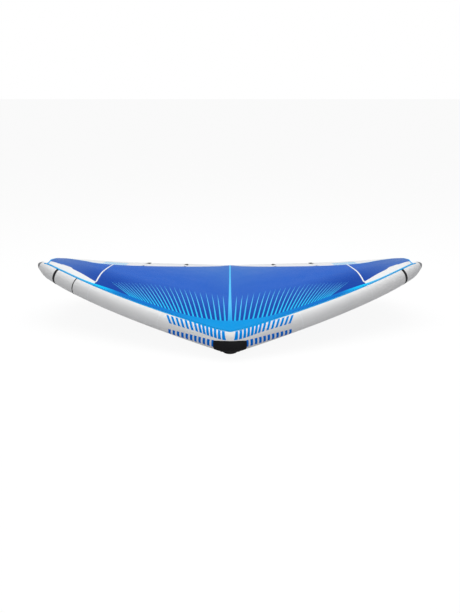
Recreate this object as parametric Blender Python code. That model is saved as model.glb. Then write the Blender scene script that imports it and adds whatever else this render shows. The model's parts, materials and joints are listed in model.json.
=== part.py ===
"""Wingfoil wing: inflated leading edge and strut, panelled canopy, handles, valve and hose.

Metres, +Z up, the nose towards -Y and the span along X. The sizes below are measured from the
middle of the leading-edge tube at the nose; the parent empty then sets the wing on its lowest
point, with the length centred on the origin.
"""

import math

import bmesh
import bpy
import numpy as np
from mathutils import Matrix

MM = 0.001

# Leading edge: the line through the middle of the tube, from the nose to the last full ring
HALF_LINE = 1.800
LINE_SWEEP = 1.127
LINE_RISE = 0.378
NOSE_BEND = 0.070
SWEEP_STRAIGHT_SHARE = 0.69
RISE_SHARES = (0.97, -0.42, 0.45)
NOSE_RADIUS = 0.1034
TIP_RADIUS = 0.0900
TIP_TAPER_SHARES = (0.92, 0.07)
TIP_LENGTH = 0.061
TUBE_SIDES = 18
BLADDER_SIDES = 12

# Trailing edge: from the middle of the wing to its tip corner
EDGE_HALF = 1.770
EDGE_DEPTH = 2.250
TIP_DEPTH = 1.500
EDGE_HEIGHT = 0.121
TIP_HEIGHT = 0.381
EDGE_ROUND_SHARES = (0.60, 0.40)
EDGE_ROUND_POWERS = (2, 8)
EDGE_RISE_SHARES = (0.37, 0.63)
EDGE_RISE_POWER = 4
EDGE_LEAN_SHARE = 0.077

# Canopy: how far it bellies up, and where its flat middle starts and ends along the chord
CENTRE_CAMBER = 0.060
TIP_CAMBER_SHARE = 0.045
CAMBER_FRONT_SHARES = (0.30, 0.15)
CAMBER_TIP_START_SHARE = 0.80
CAMBER_REAR_SHARES = (0.80, 0.42)
CAMBER_BLEND_SHARE = 0.20
CLOTH = 1.2 * MM
SLEEVE_WALL = 1.2 * MM
BLADDER_WALL = 0.8 * MM
SEAM_GAP = 0.5 * MM
LAY_GAP = 0.3 * MM
CLOTH_GAP = 0.7 * MM

# Rings of the tube and columns of the canopy, as shares of the half line
STATION_SHARES = (0.0, 0.0215, 0.044, 0.078, 0.12, 0.205, 0.295, 0.356, 0.44, 0.51, 0.60,
                  0.65, 0.70, 0.80, 0.90, 0.95, 1.0)
TIP_SHARES = (0.41, 0.765, 0.94)
INNER_SEAM_SHARE = 0.12
MID_SEAM_SHARE = 0.33
OUTER_SEAM_SHARE = 0.70
TIP_SEAM_SHARE = 0.90
ARC_SEAM_SHARE = 0.70
PAD_SHARE = 0.058

# Rows of the canopy, as shares of the chord between its front and its white rear panel
ROW_SHARES = (0.04, 0.10, 0.18, 0.30, 0.42, 0.54, 0.67, 0.80, 0.90, 1.0)
TIP_ROW_SHARES = (0.0, 0.12, 0.30, 0.50, 0.75, 1.0)
BAND_ROWS = 3

# White panel along the trailing edge, and the white wedge behind the leading edge at the tips
BAND_DEPTH = 0.500
BAND_PLACE_SHARES = (0.0, 0.025, 0.08, 0.15, 0.25, 0.37, 0.50, 0.70, 0.80, 0.90, 1.0)
BAND_DEPTH_SHARES = (0.03, 0.05, 0.34, 0.54, 0.78, 0.93, 1.0, 1.0, 0.98, 0.68, 0.06)
WEDGE_START_SHARE = 0.02
WEDGE_END_SHARE = 0.08
WEDGE_POWER = 0.8
WEDGE_ROW_SHARE = 0.45

# Trim on the canopy and the tube
PIPING_WIDTH = 12 * MM
PIPING_HEIGHT = 2.6 * MM
PIPING_SET = 0.8 * MM
STRIPE_FRONT = 66 * MM
STRIPE_REAR = 27 * MM
TAPE_THICK = 0.8 * MM
ARC_TAPE_WIDTH = 16 * MM
RING_TAPE_WIDTH = 26 * MM
RING_TAPE_THICK = 1.0 * MM
TIP_PAD_THICK = 2.5 * MM
TIP_PAD_START = 15 * MM
NOSE_PAD_THICK = 4.0 * MM
PAD_FIRST_SIDE = 4
PAD_LAST_SIDE = 11
TAPE_FIRST_SIDE = 2
TAPE_LAST_SIDE = 17

# Battens in pockets on the rear panel
BATTEN_COLUMNS = (6, 9)
BATTEN_WIDTH = 15 * MM
BATTEN_THICK = 2.0 * MM
POCKET_INSIDE = 18 * MM
POCKET_ROOM = 3.0 * MM
POCKET_WALL = 0.8 * MM
POCKET_FLANGE = 6 * MM
BATTEN_END_SHARES = (0.04, 0.99)
POCKET_END_SHARES = (0.02, 0.953)

# Strut under the middle of the canopy
STRUT_START = 0.030
STRUT_END = 2.120
STRUT_FRONT_RADIUS = 0.082
STRUT_REAR_RADIUS = 0.046
STRUT_BLADDER_START = 0.126
STRUT_BLADDER_END = 2.085
STRUT_CAP_LENGTH = 22 * MM
STRUT_NOSE_SHARE = 0.078
STRUT_CAP_ROUND_SHARES = ((1.0, 0.0), (0.95, 0.6), (0.80, 1.0))

# Handles: webbing straps on knuckles, with foam grips
KNUCKLE_RADIUS = 5.0 * MM
KNUCKLE_LENGTH = 9.0 * MM
KNUCKLE_RUN = 0.5 * MM
TAB_LENGTH = 6.0 * MM
TAB_ARC_STEPS = 6
STRAP_THICK = 3.0 * MM
PATCH_THICK = 2.4 * MM
PATCH_OVERRUN = 26 * MM
PATCH_FIRST_SIDE = 8
PATCH_LAST_SIDE = 10
GRIP_SIDES = 8
GRIP_SLOT = 0.5 * MM
GRIP_SHARE = 0.58
GRIP_ROUND_SHARES = ((-1.0, 0.72), (-0.95, 0.94), (-0.86, 1.0), (0.86, 1.0), (0.95, 0.94), (1.0, 0.72))
STRAP_ALONG_SHARES = (0.0, 0.10, 0.22, 0.40, 0.70)
STRAP_DROP_SHARES = (0.0, 0.45, 0.82, 1.0, 1.0)
STRAP_WIDTH_SHARES = (0.34, 0.80, 1.0, 1.0, 1.0)
FRONT_HANDLE = {"middle": 0.940, "half": 0.130, "drop": 0.078, "width": 0.028,
                "grip": 0.0165, "seat": 0.0016}
REAR_HANDLE = {"middle": 1.450, "half": 0.130, "drop": 0.078, "width": 0.028,
               "grip": 0.0165, "seat": 0.0016}
LEASH_LOOP = {"middle": 0.560, "half": 0.024, "drop": 0.036, "width": 0.016, "seat": 0.0016}
NOSE_HANDLE = {"half": 0.072, "drop": 0.0265, "width": 0.028, "grip": 0.0165, "seat": 0.0046}

# Inflation valve on the tube, right of the middle, below the canopy
VALVE_PLACE_SHARE = 0.25
VALVE_SIDE = 12
VALVE_SEGMENTS = 16
VALVE_BODY_RADIUS = 19.0 * MM
VALVE_FLANGE_RADIUS = 30.0 * MM
VALVE_FLANGE_THICK = 3.0 * MM
VALVE_NECK = 12.0 * MM
VALVE_DEPTH = 20.0 * MM
VALVE_BORE_RADIUS = 14.5 * MM
VALVE_SEAT_RADIUS = 9.0 * MM
VALVE_SEAT_THICK = 3.0 * MM
VALVE_LIP_RADIUS = 6.0 * MM
VALVE_LIP_THICK = 2.5 * MM
HOLE_RUN = 0.6 * MM
PLUNGER_RADIUS = 11.5 * MM
PLUNGER_THICK = 3.0 * MM
PLUNGER_RUN = 0.5 * MM
PLUNGER_STEM = 2.5 * MM
PLUNGER_TOP = 9.0 * MM
CAP_RADIUS = 20.5 * MM
CAP_THICK = 4.0 * MM
CAP_RUN = 0.5 * MM
CAP_ARM_WIDTH = 7.6 * MM
CAP_ARM_THICK = 3.0 * MM
CAP_HINGE_REACH = 31.5 * MM
CAP_KNUCKLE = 2.6 * MM
VALVE_LUG_THICK = 3.5 * MM
VALVE_LUG_RUN = 0.5 * MM
VALVE_LUG_IN = 7.0 * MM
VALVE_LUG_OUT = 3.0 * MM
VALVE_LUG_SEAT = 0.8 * MM

# Hose between the two bladders, its fittings and its pinch clip
HOSE_PLACE_SHARE = -0.099
HOSE_TUBE_SIDE = 12
HOSE_STRUT_PLACE = 0.3135
HOSE_STRUT_SIDE = 12
HOSE_RADIUS = 7.0 * MM
HOSE_REACH = 70 * MM
HOSE_STEPS = 12
HOSE_BEVEL_STEPS = 2
NIPPLE_SEGMENTS = 12
NIPPLE_FLANGE_RADIUS = 12.0 * MM
NIPPLE_FLANGE_THICK = 2.0 * MM
NIPPLE_RADIUS = 6.0 * MM
NIPPLE_BORE = 3.5 * MM
NIPPLE_OUT = 9.0 * MM
NIPPLE_IN = 12.0 * MM
CLIP_LENGTH = 16 * MM
CLIP_RUN = 0.8 * MM
CLIP_WALL = 2.6 * MM
CLIP_SEGMENTS = 12
CLIP_LUG_HALF = 3.5 * MM
CLIP_LUG_THICK = 3.0 * MM
CLIP_LUG_TOP = 7.4 * MM
CLIP_LUG_SEAT = 1.2 * MM
LEVER_HALF_WIDTH = 4.6 * MM
LEVER_RUN = 0.5 * MM
LEVER_KNUCKLE = 3.0 * MM
LEVER_AXIS = 3.9 * MM
LEVER_LENGTH = 36 * MM
LEVER_THICK = 3.0 * MM

# Zip on the side of the strut
ZIP_START = 0.700
ZIP_LENGTH = 0.600
ZIP_SIDE = 5
ZIP_WIDTH = 16 * MM
ZIP_THICK = 1.0 * MM
SLIDER_START = 10 * MM
SLIDER_LENGTH = 14 * MM
SLIDER_WIDTH = 9 * MM
SLIDER_THICK = 3.0 * MM
SLIDER_LUG_LENGTH = 6 * MM
SLIDER_LUG_WIDTH = 2.8 * MM
SLIDER_LUG_TOP = 3.4 * MM
PULL_AXIS = 2.6 * MM
PULL_RUN = 0.4 * MM
PULL_ARM = 2.0 * MM
PULL_KNUCKLE = 1.6 * MM
PULL_LENGTH = 32 * MM
PULL_FORK = 6.5 * MM
PULL_THICK = 1.6 * MM

CYLINDER_SEGMENTS = 12
OVERRUN = 20 * MM
STEP_SHARE = 0.0001
SHARP_ANGLE = math.radians(35)

COLOURS = {
    "white_dacron": ((0.78, 0.80, 0.82), 0.55, 0.0),
    "blue_ripstop": ((0.02, 0.09, 0.50), 0.40, 0.0),
    "cyan_tape": ((0.02, 0.37, 0.83), 0.45, 0.0),
    "white_ripstop": ((0.74, 0.78, 0.82), 0.45, 0.0),
    "bladder_tpu": ((0.55, 0.60, 0.62), 0.25, 0.0),
    "black_webbing": ((0.015, 0.015, 0.017), 0.80, 0.0),
    "black_foam": ((0.02, 0.02, 0.022), 0.70, 0.0),
    "black_rubber": ((0.02, 0.02, 0.02), 0.60, 0.0),
    "grey_plastic": ((0.16, 0.17, 0.18), 0.40, 0.0),
    "carbon_batten": ((0.02, 0.02, 0.02), 0.35, 0.0),
    "clear_hose": ((0.60, 0.66, 0.70), 0.20, 0.0),
}


def material(name):
    """The named material, made on first use."""
    known = bpy.data.materials.get(name)
    if known:
        return known
    made = bpy.data.materials.new(name)
    made.use_nodes = True
    colour, roughness, metallic = COLOURS[name]
    shader = made.node_tree.nodes["Principled BSDF"]
    shader.inputs["Base Color"].default_value = (*colour, 1.0)
    shader.inputs["Roughness"].default_value = roughness
    shader.inputs["Metallic"].default_value = metallic
    return made


def unit(vector):
    """The vector at length one."""
    return np.asarray(vector, float) / np.linalg.norm(vector)


def mirrored(vector, side):
    """The vector itself on the right side, its mirror image on the left."""
    return vector * np.array([side, 1.0, 1.0])


# The leading edge, the trailing edge and the canopy between them

def bend(share):
    """Share of the half line, rounded off where the two halves meet at the nose."""
    soft = NOSE_BEND / HALF_LINE
    return (math.hypot(share, soft) - soft) / (math.hypot(1.0, soft) - soft)


def line_point(share):
    """Middle of the tube on the right side."""
    straight = SWEEP_STRAIGHT_SHARE
    back = LINE_SWEEP * (straight * bend(share) + (1.0 - straight) * share ** 2)
    first, second, third = RISE_SHARES
    up = LINE_RISE * (first * bend(share) + second * share ** 2 + third * abs(share) ** 3)
    return np.array([HALF_LINE * share, back, up])


def line_section(place):
    """Centre, up and forward directions of the tube's section; a minus place is on the left."""
    side = math.copysign(1.0, place)
    share = abs(place)
    along = unit(line_point(share + STEP_SHARE) - line_point(share - STEP_SHARE))
    up = np.array([0.0, 0.0, 1.0])
    up = unit(up - along * up.dot(along))
    forward = np.cross(along, up)
    if forward[1] > 0.0:
        forward = -forward
    return mirrored(line_point(share), side), mirrored(up, side), mirrored(forward, side)


def smooth_step(value):
    """0 to 1 with level ends."""
    value = min(max(value, 0.0), 1.0)
    return value * value * (3.0 - 2.0 * value)


def line_radius(place):
    """Outer radius of the tube, rounded to nothing past the last full ring."""
    share = abs(place)
    start, drawn = TIP_TAPER_SHARES
    radius = NOSE_RADIUS + (TIP_RADIUS - NOSE_RADIUS) * min(share, 1.0)
    radius *= 1.0 - drawn * smooth_step((share - start) / (1.0 - start))
    past = max(share - 1.0, 0.0) * HALF_LINE / TIP_LENGTH
    return radius * math.sqrt(max(1.0 - past ** 2, 0.0))


class Tube:
    """A many-sided tube with rings at given stations and straight sides between them."""

    def __init__(self, stations, section, radius, sides, unit_length):
        self.stations = list(stations)
        self.section = section
        self.radius = radius
        self.sides = sides
        self.unit_length = unit_length

    def own_ring(self, station, lift):
        """The ring at one of the stations, lifted off the surface."""
        centre, up, side = self.section(station)
        turns = [2.0 * math.pi * number / self.sides for number in range(self.sides)]
        reach = self.radius(station) + lift
        return np.array([centre + reach * (math.cos(t) * up + math.sin(t) * side) for t in turns])

    def ring(self, place, lift=0.0):
        """The ring at any place, on the flat sides between the stations."""
        after = int(np.clip(np.searchsorted(self.stations, place), 1, len(self.stations) - 1))
        low, high = self.stations[after - 1], self.stations[after]
        mix = (place - low) / (high - low)
        return (1.0 - mix) * self.own_ring(low, lift) + mix * self.own_ring(high, lift)

    def between(self, low, high):
        """The two places and every station that lies between them."""
        inner = [s for s in self.stations if low < s < high]
        return [low, *inner, high]

    def face_frame(self, place, side_number, lift):
        """Frame on the middle of one flat side: Z out of the tube, X along it."""
        reach = STEP_SHARE
        first, second = side_number, (side_number + 1) % self.sides
        here = self.ring(place, lift)
        ahead = self.ring(place + reach, lift)
        behind = self.ring(place - reach, lift)
        along = unit((ahead[first] + ahead[second]) - (behind[first] + behind[second]))
        centre = (here[first] + here[second]) / 2.0
        out = unit(np.cross(along, here[second] - here[first]))
        middle = here.mean(axis=0)
        if out.dot(centre - middle) < 0.0:
            out = -out
        return frame(centre, along, np.cross(out, along), out)


def frame(origin, x_axis, y_axis, z_axis):
    """A placement matrix from an origin and three unit axes."""
    columns = np.eye(4)
    for number, axis in enumerate((x_axis, y_axis, z_axis, origin)):
        columns[:3, number] = axis
    return Matrix(columns.tolist())


def tube_places():
    """The stations of the whole leading edge, left tip to right tip."""
    tips = [1.0 + share * TIP_LENGTH / HALF_LINE for share in TIP_SHARES]
    right = [*STATION_SHARES[1:], *tips]
    return [-place for place in reversed(right)] + [0.0] + right


def bladder_radius(place):
    """Radius at which the bladder's corners stay inside the sleeve's flat sides."""
    inside = line_radius(place) - SLEEVE_WALL
    return inside * math.cos(math.pi / TUBE_SIDES) - LAY_GAP


LEADING = Tube(tube_places(), line_section, line_radius, TUBE_SIDES, HALF_LINE)
LEADING_BLADDER = Tube(tube_places(), line_section, bladder_radius, BLADDER_SIDES, HALF_LINE)


def edge_point(share):
    """Trailing edge on the right side."""
    round_a, round_b = EDGE_ROUND_SHARES
    power_a, power_b = EDGE_ROUND_POWERS
    rise_a, rise_b = EDGE_RISE_SHARES
    drawn = round_a * share ** power_a + round_b * share ** power_b
    lifted = rise_a * bend(share) + rise_b * share ** EDGE_RISE_POWER
    depth = EDGE_DEPTH + (TIP_DEPTH - EDGE_DEPTH) * drawn
    height = EDGE_HEIGHT + (TIP_HEIGHT - EDGE_HEIGHT) * lifted
    return np.array([EDGE_HALF * share, depth, height])


def edge_behind(share):
    """Trailing-edge point that a column of the canopy runs to: the columns lean towards the middle."""
    return edge_point(share - EDGE_LEAN_SHARE * 4.0 * share * (1.0 - share))


def seam_points(share):
    """Where the canopy starts on the tube's front and where it leaves the tube's top."""
    ring = LEADING.ring(share, SEAM_GAP)
    return ring[1], ring[0]


def chord(share):
    """Length of the canopy from the tube's top to the trailing edge."""
    return float(np.linalg.norm(edge_behind(share) - seam_points(share)[1]))


def camber(share, along):
    """Height of the canopy over its chord line."""
    out = smooth_step(share / CAMBER_BLEND_SHARE)
    height = (1.0 - out) * CENTRE_CAMBER + out * TIP_CAMBER_SHARE * chord(share)
    rear = (1.0 - out) * CAMBER_REAR_SHARES[0] + out * CAMBER_REAR_SHARES[1]
    tip = smooth_step((share - CAMBER_TIP_START_SHARE) / (1.0 - CAMBER_TIP_START_SHARE))
    front = (1.0 - tip) * CAMBER_FRONT_SHARES[0] + tip * CAMBER_FRONT_SHARES[1]
    if along < front:
        return height * (1.0 - (1.0 - along / front) ** 2)
    if along < rear:
        return height
    return height * (1.0 - ((along - rear) / (1.0 - rear)) ** 2)


def canopy_base(share, along):
    """Underside of the canopy, right side; along runs -1 at the seam, 0 at the top, 1 at the edge."""
    front, top = seam_points(share)
    if along <= 0.0:
        return top + (front - top) * -along
    point = top + (edge_behind(share) - top) * along
    point[2] += camber(share, along)
    return point


def canopy_normal(share, along):
    """Outward direction of the canopy, right side."""
    if along < 0.0:
        centre, up, forward = line_section(share)
        at_seam = unit(seam_points(share)[0] - centre)
        return unit(at_seam * -along + canopy_normal(share, 0.0) * (1.0 + along))
    low = min(max(along, STEP_SHARE), 1.0 - STEP_SHARE)
    inner = max(share, STEP_SHARE)
    chordwise = canopy_base(inner, low + STEP_SHARE) - canopy_base(inner, low - STEP_SHARE)
    spanwise = canopy_base(inner + STEP_SHARE, low) - canopy_base(inner - STEP_SHARE, low)
    normal = unit(np.cross(spanwise, chordwise))
    if share <= STEP_SHARE:
        normal = unit(normal * np.array([0.0, 1.0, 1.0]))
    return normal


def canopy_layer(share, along, lift, side):
    """A point of the canopy lifted off its underside, on the right or the left."""
    return mirrored(canopy_base(share, along) + lift * canopy_normal(share, along), side)


def band_start(share):
    """Where the white rear panel starts along the chord."""
    depth = BAND_DEPTH * np.interp(share, BAND_PLACE_SHARES, BAND_DEPTH_SHARES)
    return 1.0 - float(depth) / chord(share)


def wedge_end(share):
    """Where the white wedge at the tip ends along the chord."""
    out = (share - ARC_SEAM_SHARE) / (1.0 - ARC_SEAM_SHARE)
    return WEDGE_START_SHARE + (WEDGE_END_SHARE - WEDGE_START_SHARE) * max(out, 0.0) ** WEDGE_POWER


# Bodies from points

def body(name, verts, faces, material_name, placed=None, parent=None):
    """One named object from points and faces, its faces turned outwards."""
    mesh = bpy.data.meshes.new(name)
    mesh.from_pydata([tuple(map(float, v)) for v in verts], [], faces)
    shape = bmesh.new()
    shape.from_mesh(mesh)
    bmesh.ops.recalc_face_normals(shape, faces=shape.faces)
    shape.to_mesh(mesh)
    shape.free()
    return dressed(name, mesh, material_name, placed, parent)


def dressed(name, mesh, material_name, placed=None, parent=None):
    """An object for a finished mesh, under the wing's frame."""
    mesh.materials.append(material(material_name))
    mesh.shade_smooth()
    mesh.set_sharp_from_angle(angle=SHARP_ANGLE)
    made = bpy.data.objects.new(name, mesh)
    made.parent = parent or WING
    if placed is not None:
        made.matrix_basis = placed
    bpy.context.scene.collection.objects.link(made)
    return made


def grid_quads(rows, columns, wrap, first=0):
    """Quads between rows of points, closed round each row when wrap is set."""
    quads = []
    for row in range(rows - 1):
        for column in range(columns if wrap else columns - 1):
            after = (column + 1) % columns
            a = first + row * columns + column
            b = first + row * columns + after
            quads.append((a, b, b + columns, a + columns))
    return quads


def slab(name, bottom, top, material_name):
    """A thin closed body between two grids of points."""
    bottom, top = np.asarray(bottom), np.asarray(top)
    rows, columns = bottom.shape[:2]
    count = rows * columns
    faces = grid_quads(rows, columns, False) + grid_quads(rows, columns, False, count)
    rim = [row * columns for row in range(rows)]
    rim += [(rows - 1) * columns + column for column in range(1, columns)]
    rim += [row * columns + columns - 1 for row in range(rows - 2, -1, -1)]
    rim += list(range(columns - 2, 0, -1))
    for here, after in zip(rim, rim[1:] + rim[:1]):
        faces.append((here, after, after + count, here + count))
    verts = np.concatenate([bottom.reshape(-1, 3), top.reshape(-1, 3)])
    return body(name, verts, faces, material_name)


def loft(name, sections, material_name, placed=None):
    """A closed body through sections of equal point counts, capped at both ends."""
    sections = np.asarray(sections)
    rows, columns = sections.shape[:2]
    faces = grid_quads(rows, columns, True)
    faces.append(tuple(range(columns)))
    faces.append(tuple(range((rows - 1) * columns, rows * columns)))
    return body(name, sections.reshape(-1, 3), faces, material_name, placed)


def pipe(name, outer, inner, material_name, closed_end=False, placed=None):
    """A shell between outer and inner rings, open at the start, and at the end unless closed."""
    outer, inner = np.asarray(outer), np.asarray(inner)
    rows, columns = outer.shape[:2]
    count = rows * columns
    faces = grid_quads(rows, columns, True) + grid_quads(rows, columns, True, count)
    for column in range(columns):
        after = (column + 1) % columns
        faces.append((column, after, count + after, count + column))
        if not closed_end:
            last = (rows - 1) * columns
            faces.append((last + column, last + after, count + last + after, count + last + column))
    if closed_end:
        faces.append(tuple(range(count - columns, count)))
        faces.append(tuple(range(2 * count - columns, 2 * count)))
    verts = np.concatenate([outer.reshape(-1, 3), inner.reshape(-1, 3)])
    return body(name, verts, faces, material_name, placed)


def balloon(name, tube, places, wall, material_name):
    """A closed bag along a tube: an outer skin and an inner skin that faces its hollow."""
    rows = len(places)
    inside = list(places)
    step = wall / tube.unit_length
    inside[0] += step
    inside[-1] -= step
    shape = bmesh.new()
    for skin_places, lift, inward in ((places, 0.0, False), (inside, -wall, True)):
        rings = np.array([tube.ring(place, lift) for place in skin_places])
        verts = [shape.verts.new(tuple(v)) for v in rings.reshape(-1, 3)]
        quads = grid_quads(rows, tube.sides, True)
        quads.append(tuple(range(tube.sides)))
        quads.append(tuple(range((rows - 1) * tube.sides, rows * tube.sides)))
        skin = [shape.faces.new([verts[number] for number in quad]) for quad in quads]
        bmesh.ops.recalc_face_normals(shape, faces=skin)
        if inward:
            bmesh.ops.reverse_faces(shape, faces=skin)
    mesh = bpy.data.meshes.new(name)
    shape.to_mesh(mesh)
    shape.free()
    return dressed(name, mesh, material_name)


def turned(name, profile, segments, material_name, placed=None):
    """A body turned about Z from a closed profile of radii and heights that stays off the axis."""
    rings = []
    for radius, height in profile:
        turns = [2.0 * math.pi * number / segments for number in range(segments)]
        rings.append([(radius * math.cos(t), radius * math.sin(t), height) for t in turns])
    rings.append(rings[0])
    rows, columns = len(rings), segments
    count = (rows - 1) * columns
    faces = [tuple(number % count for number in quad) for quad in grid_quads(rows, columns, True)]
    verts = [point for ring in rings[:-1] for point in ring]
    return body(name, verts, faces, material_name, placed)


def spindle(name, profile, segments, material_name, placed=None):
    """A solid body turned about Z through circles of given radii and heights."""
    turns = [2.0 * math.pi * number / segments for number in range(segments)]
    rings = [[(r * math.cos(t), r * math.sin(t), z) for t in turns] for r, z in profile]
    return loft(name, rings, material_name, placed)


def block(name, low, high, material_name, placed=None):
    """A box between two corners in its own frame."""
    sections = []
    for x in (low[0], high[0]):
        sections.append([(x, low[1], low[2]), (x, high[1], low[2]),
                         (x, high[1], high[2]), (x, low[1], high[2])])
    return loft(name, sections, material_name, placed)


def hidden(tool):
    """A cutter or a piece to be joined, which isn't a part of the model by itself."""
    tool.hide_render = True
    tool.display_type = "WIRE"
    return tool


def combine(target, tool, operation):
    """Cut the tool out of the target, or join it to the target."""
    step = target.modifiers.new(operation.lower(), "BOOLEAN")
    step.operation = operation
    step.solver = "EXACT"
    step.object = hidden(tool)


# Pieces on a tube

def tube_shell(name, tube, places, wall, material_name, closed_end=False):
    """A sleeve panel along a tube."""
    outer = [tube.ring(place) for place in places]
    inside = list(places)
    if closed_end:
        inside[-1] -= math.copysign(wall / tube.unit_length, places[-1])
    inner = [tube.ring(place, -wall) for place in inside]
    return pipe(name, outer, inner, material_name, closed_end)


def tube_patch(name, tube, places, sides, lift, thick, material_name):
    """A patch that lies on some sides of a tube."""
    bottom = [tube.ring(place, lift)[sides] for place in places]
    top = [tube.ring(place, lift + thick)[sides] for place in places]
    return slab(name, bottom, top, material_name)


def leading_edge():
    """Sleeve panels, bladder, piping, seam rings and tip pads of the tube."""
    half_gap = SEAM_GAP / 2.0 / HALF_LINE
    ends = tube_places()
    centre = LEADING.between(-INNER_SEAM_SHARE + half_gap, INNER_SEAM_SHARE - half_gap)
    sleeves = {}
    sleeves["centre"] = tube_shell("leading_edge_sleeve_centre", LEADING, centre, SLEEVE_WALL,
                                   "white_dacron")
    panels = (("inner", INNER_SEAM_SHARE, MID_SEAM_SHARE), ("mid", MID_SEAM_SHARE, OUTER_SEAM_SHARE),
              ("outer", OUTER_SEAM_SHARE, TIP_SEAM_SHARE))
    for side, word in ((1.0, "right"), (-1.0, "left")):
        for panel, start, end in panels:
            places = LEADING.between(start + half_gap, end - half_gap)
            if side < 0.0:
                places = LEADING.between(half_gap - end, -start - half_gap)
            made = tube_shell(f"leading_edge_sleeve_{panel}_{word}", LEADING, places, SLEEVE_WALL,
                              "white_dacron")
            sleeves[f"{panel}_{word}"] = made
        tip = LEADING.between(TIP_SEAM_SHARE + half_gap, ends[-1])
        tube_shell(f"leading_edge_sleeve_tip_{word}", LEADING, [side * place for place in tip],
                   SLEEVE_WALL, "white_dacron", closed_end=True)
        tip_pad(word, side)
        ring_tape(word, side)
        piping(word, side)
    bladder_places = LEADING_BLADDER.between(ends[1], ends[-2])
    bladder = balloon("leading_edge_bladder", LEADING_BLADDER, bladder_places, BLADDER_WALL,
                      "bladder_tpu")
    return sleeves, bladder


def tip_pad(word, side):
    """Scuff cap over the rounded end of the tube."""
    places = [side * place for place in tube_places()[-3:]]
    start = side * (1.0 + TIP_PAD_START / HALF_LINE)
    outer = [LEADING.own_ring(place, LAY_GAP + TIP_PAD_THICK) for place in places]
    inner = [LEADING.own_ring(place, LAY_GAP) for place in places]
    outward = unit(outer[-1].mean(axis=0) - outer[-2].mean(axis=0))
    outer[-1] = outer[-1] + outward * (LAY_GAP + TIP_PAD_THICK)
    inner[-1] = inner[-1] + outward * LAY_GAP
    outer.insert(0, LEADING.ring(start, LAY_GAP + TIP_PAD_THICK))
    inner.insert(0, LEADING.ring(start, LAY_GAP))
    pipe(f"tip_pad_{word}", outer, inner, "black_rubber", closed_end=True)


def ring_tape(word, side):
    """Black tape over the seam before the tip, from the piping round under the tube."""
    half = RING_TAPE_WIDTH / 2.0 / HALF_LINE
    places = [side * (TIP_SEAM_SHARE + step) for step in (-half, 0.0, half)]
    sides = list(range(TAPE_FIRST_SIDE, TAPE_LAST_SIDE + 1))
    tube_patch(f"tip_seam_tape_{word}", LEADING, places, sides, LAY_GAP, RING_TAPE_THICK,
               "black_webbing")


def piping(word, side):
    """Light cord along the seam between the tube and the canopy."""
    half_gap = SEAM_GAP / 2.0 / HALF_LINE
    places = LEADING.between(half_gap, 1.0)
    bottom, top = [], []
    for place in places:
        rows = []
        for lift in (LAY_GAP, LAY_GAP + PIPING_HEIGHT):
            ring = LEADING.ring(side * place, lift)
            face = np.linalg.norm(ring[2] - ring[1])
            shares = [PIPING_SET / face, (PIPING_SET + PIPING_WIDTH) / face]
            rows.append([ring[1] + (ring[2] - ring[1]) * share for share in shares])
        bottom.append(rows[0])
        top.append(rows[1])
    slab(f"leading_edge_piping_{word}", bottom, top, "cyan_tape")


# The canopy's panels

def panel(name, shares, rows_at, side, material_name):
    """A canopy panel: columns at the given shares, rows where rows_at says for each column."""
    layers = []
    for lift in (0.0, CLOTH):
        grid = [[canopy_layer(share, along, lift, side) for along in rows_at(share)]
                for share in shares]
        layers.append(grid)
    return slab(name, layers[0], layers[1], material_name)


def columns_between(low, high):
    """Canopy columns from one share to another."""
    return [low, *[s for s in STATION_SHARES if low < s < high], high]


def main_rows(share):
    """Rows of the main panel in one column, front seam to the white rear panel."""
    end = band_start(share) - SEAM_GAP / chord(share)
    return [-1.0, 0.0, *[end * row for row in ROW_SHARES]]


def tip_rows(share):
    """Rows of the tip panel in one column, behind the wedge."""
    start = wedge_end(share) + SEAM_GAP / chord(share)
    end = band_start(share) - SEAM_GAP / chord(share)
    return [start + (end - start) * row for row in TIP_ROW_SHARES]


def wedge_rows(share):
    """Rows of the white wedge in one column."""
    return [-1.0, 0.0, WEDGE_ROW_SHARE * wedge_end(share), wedge_end(share)]


def band_rows(share):
    """Rows of the white rear panel in one column."""
    start = band_start(share)
    return [start + (1.0 - start) * row / BAND_ROWS for row in range(BAND_ROWS + 1)]


def canopy():
    """Panels, seam tapes, battens and pockets of the canopy."""
    half_gap = SEAM_GAP / 2.0 / HALF_LINE
    for side, word in ((1.0, "right"), (-1.0, "left")):
        inner = columns_between(half_gap, ARC_SEAM_SHARE - half_gap)
        outer = columns_between(ARC_SEAM_SHARE + half_gap, 1.0)
        panel(f"canopy_main_{word}", inner, main_rows, side, "blue_ripstop")
        panel(f"canopy_tip_{word}", outer, tip_rows, side, "blue_ripstop")
        panel(f"canopy_wedge_{word}", outer, wedge_rows, side, "white_ripstop")
        panel(f"canopy_rear_panel_{word}", columns_between(half_gap, 1.0), band_rows, side,
              "white_ripstop")
        arc_tape(word, side)
        for number, column in enumerate(BATTEN_COLUMNS, start=1):
            batten(f"{number}_{word}", column, side)
    centre_stripe()


def centre_stripe():
    """Tapering tape over the seam in the middle of the canopy."""
    column = STATION_SHARES[1]
    bottom, top = [], []
    for along in main_rows(0.0):
        back = max(along, 0.0)
        half = (STRIPE_FRONT + (STRIPE_REAR - STRIPE_FRONT) * back) / 2.0
        mix = half / (column * HALF_LINE)
        row = main_rows(0.0).index(along)
        outer_along = main_rows(column)[row]
        rows = []
        for lift in (CLOTH + CLOTH_GAP, CLOTH + CLOTH_GAP + TAPE_THICK):
            middle = canopy_layer(0.0, along, lift, 1.0)
            right = middle + (canopy_layer(column, outer_along, lift, 1.0) - middle) * mix
            rows.append([mirrored(right, -1.0), middle, right])
        bottom.append(rows[0])
        top.append(rows[1])
    slab("centre_stripe_tape", bottom, top, "cyan_tape")


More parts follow.
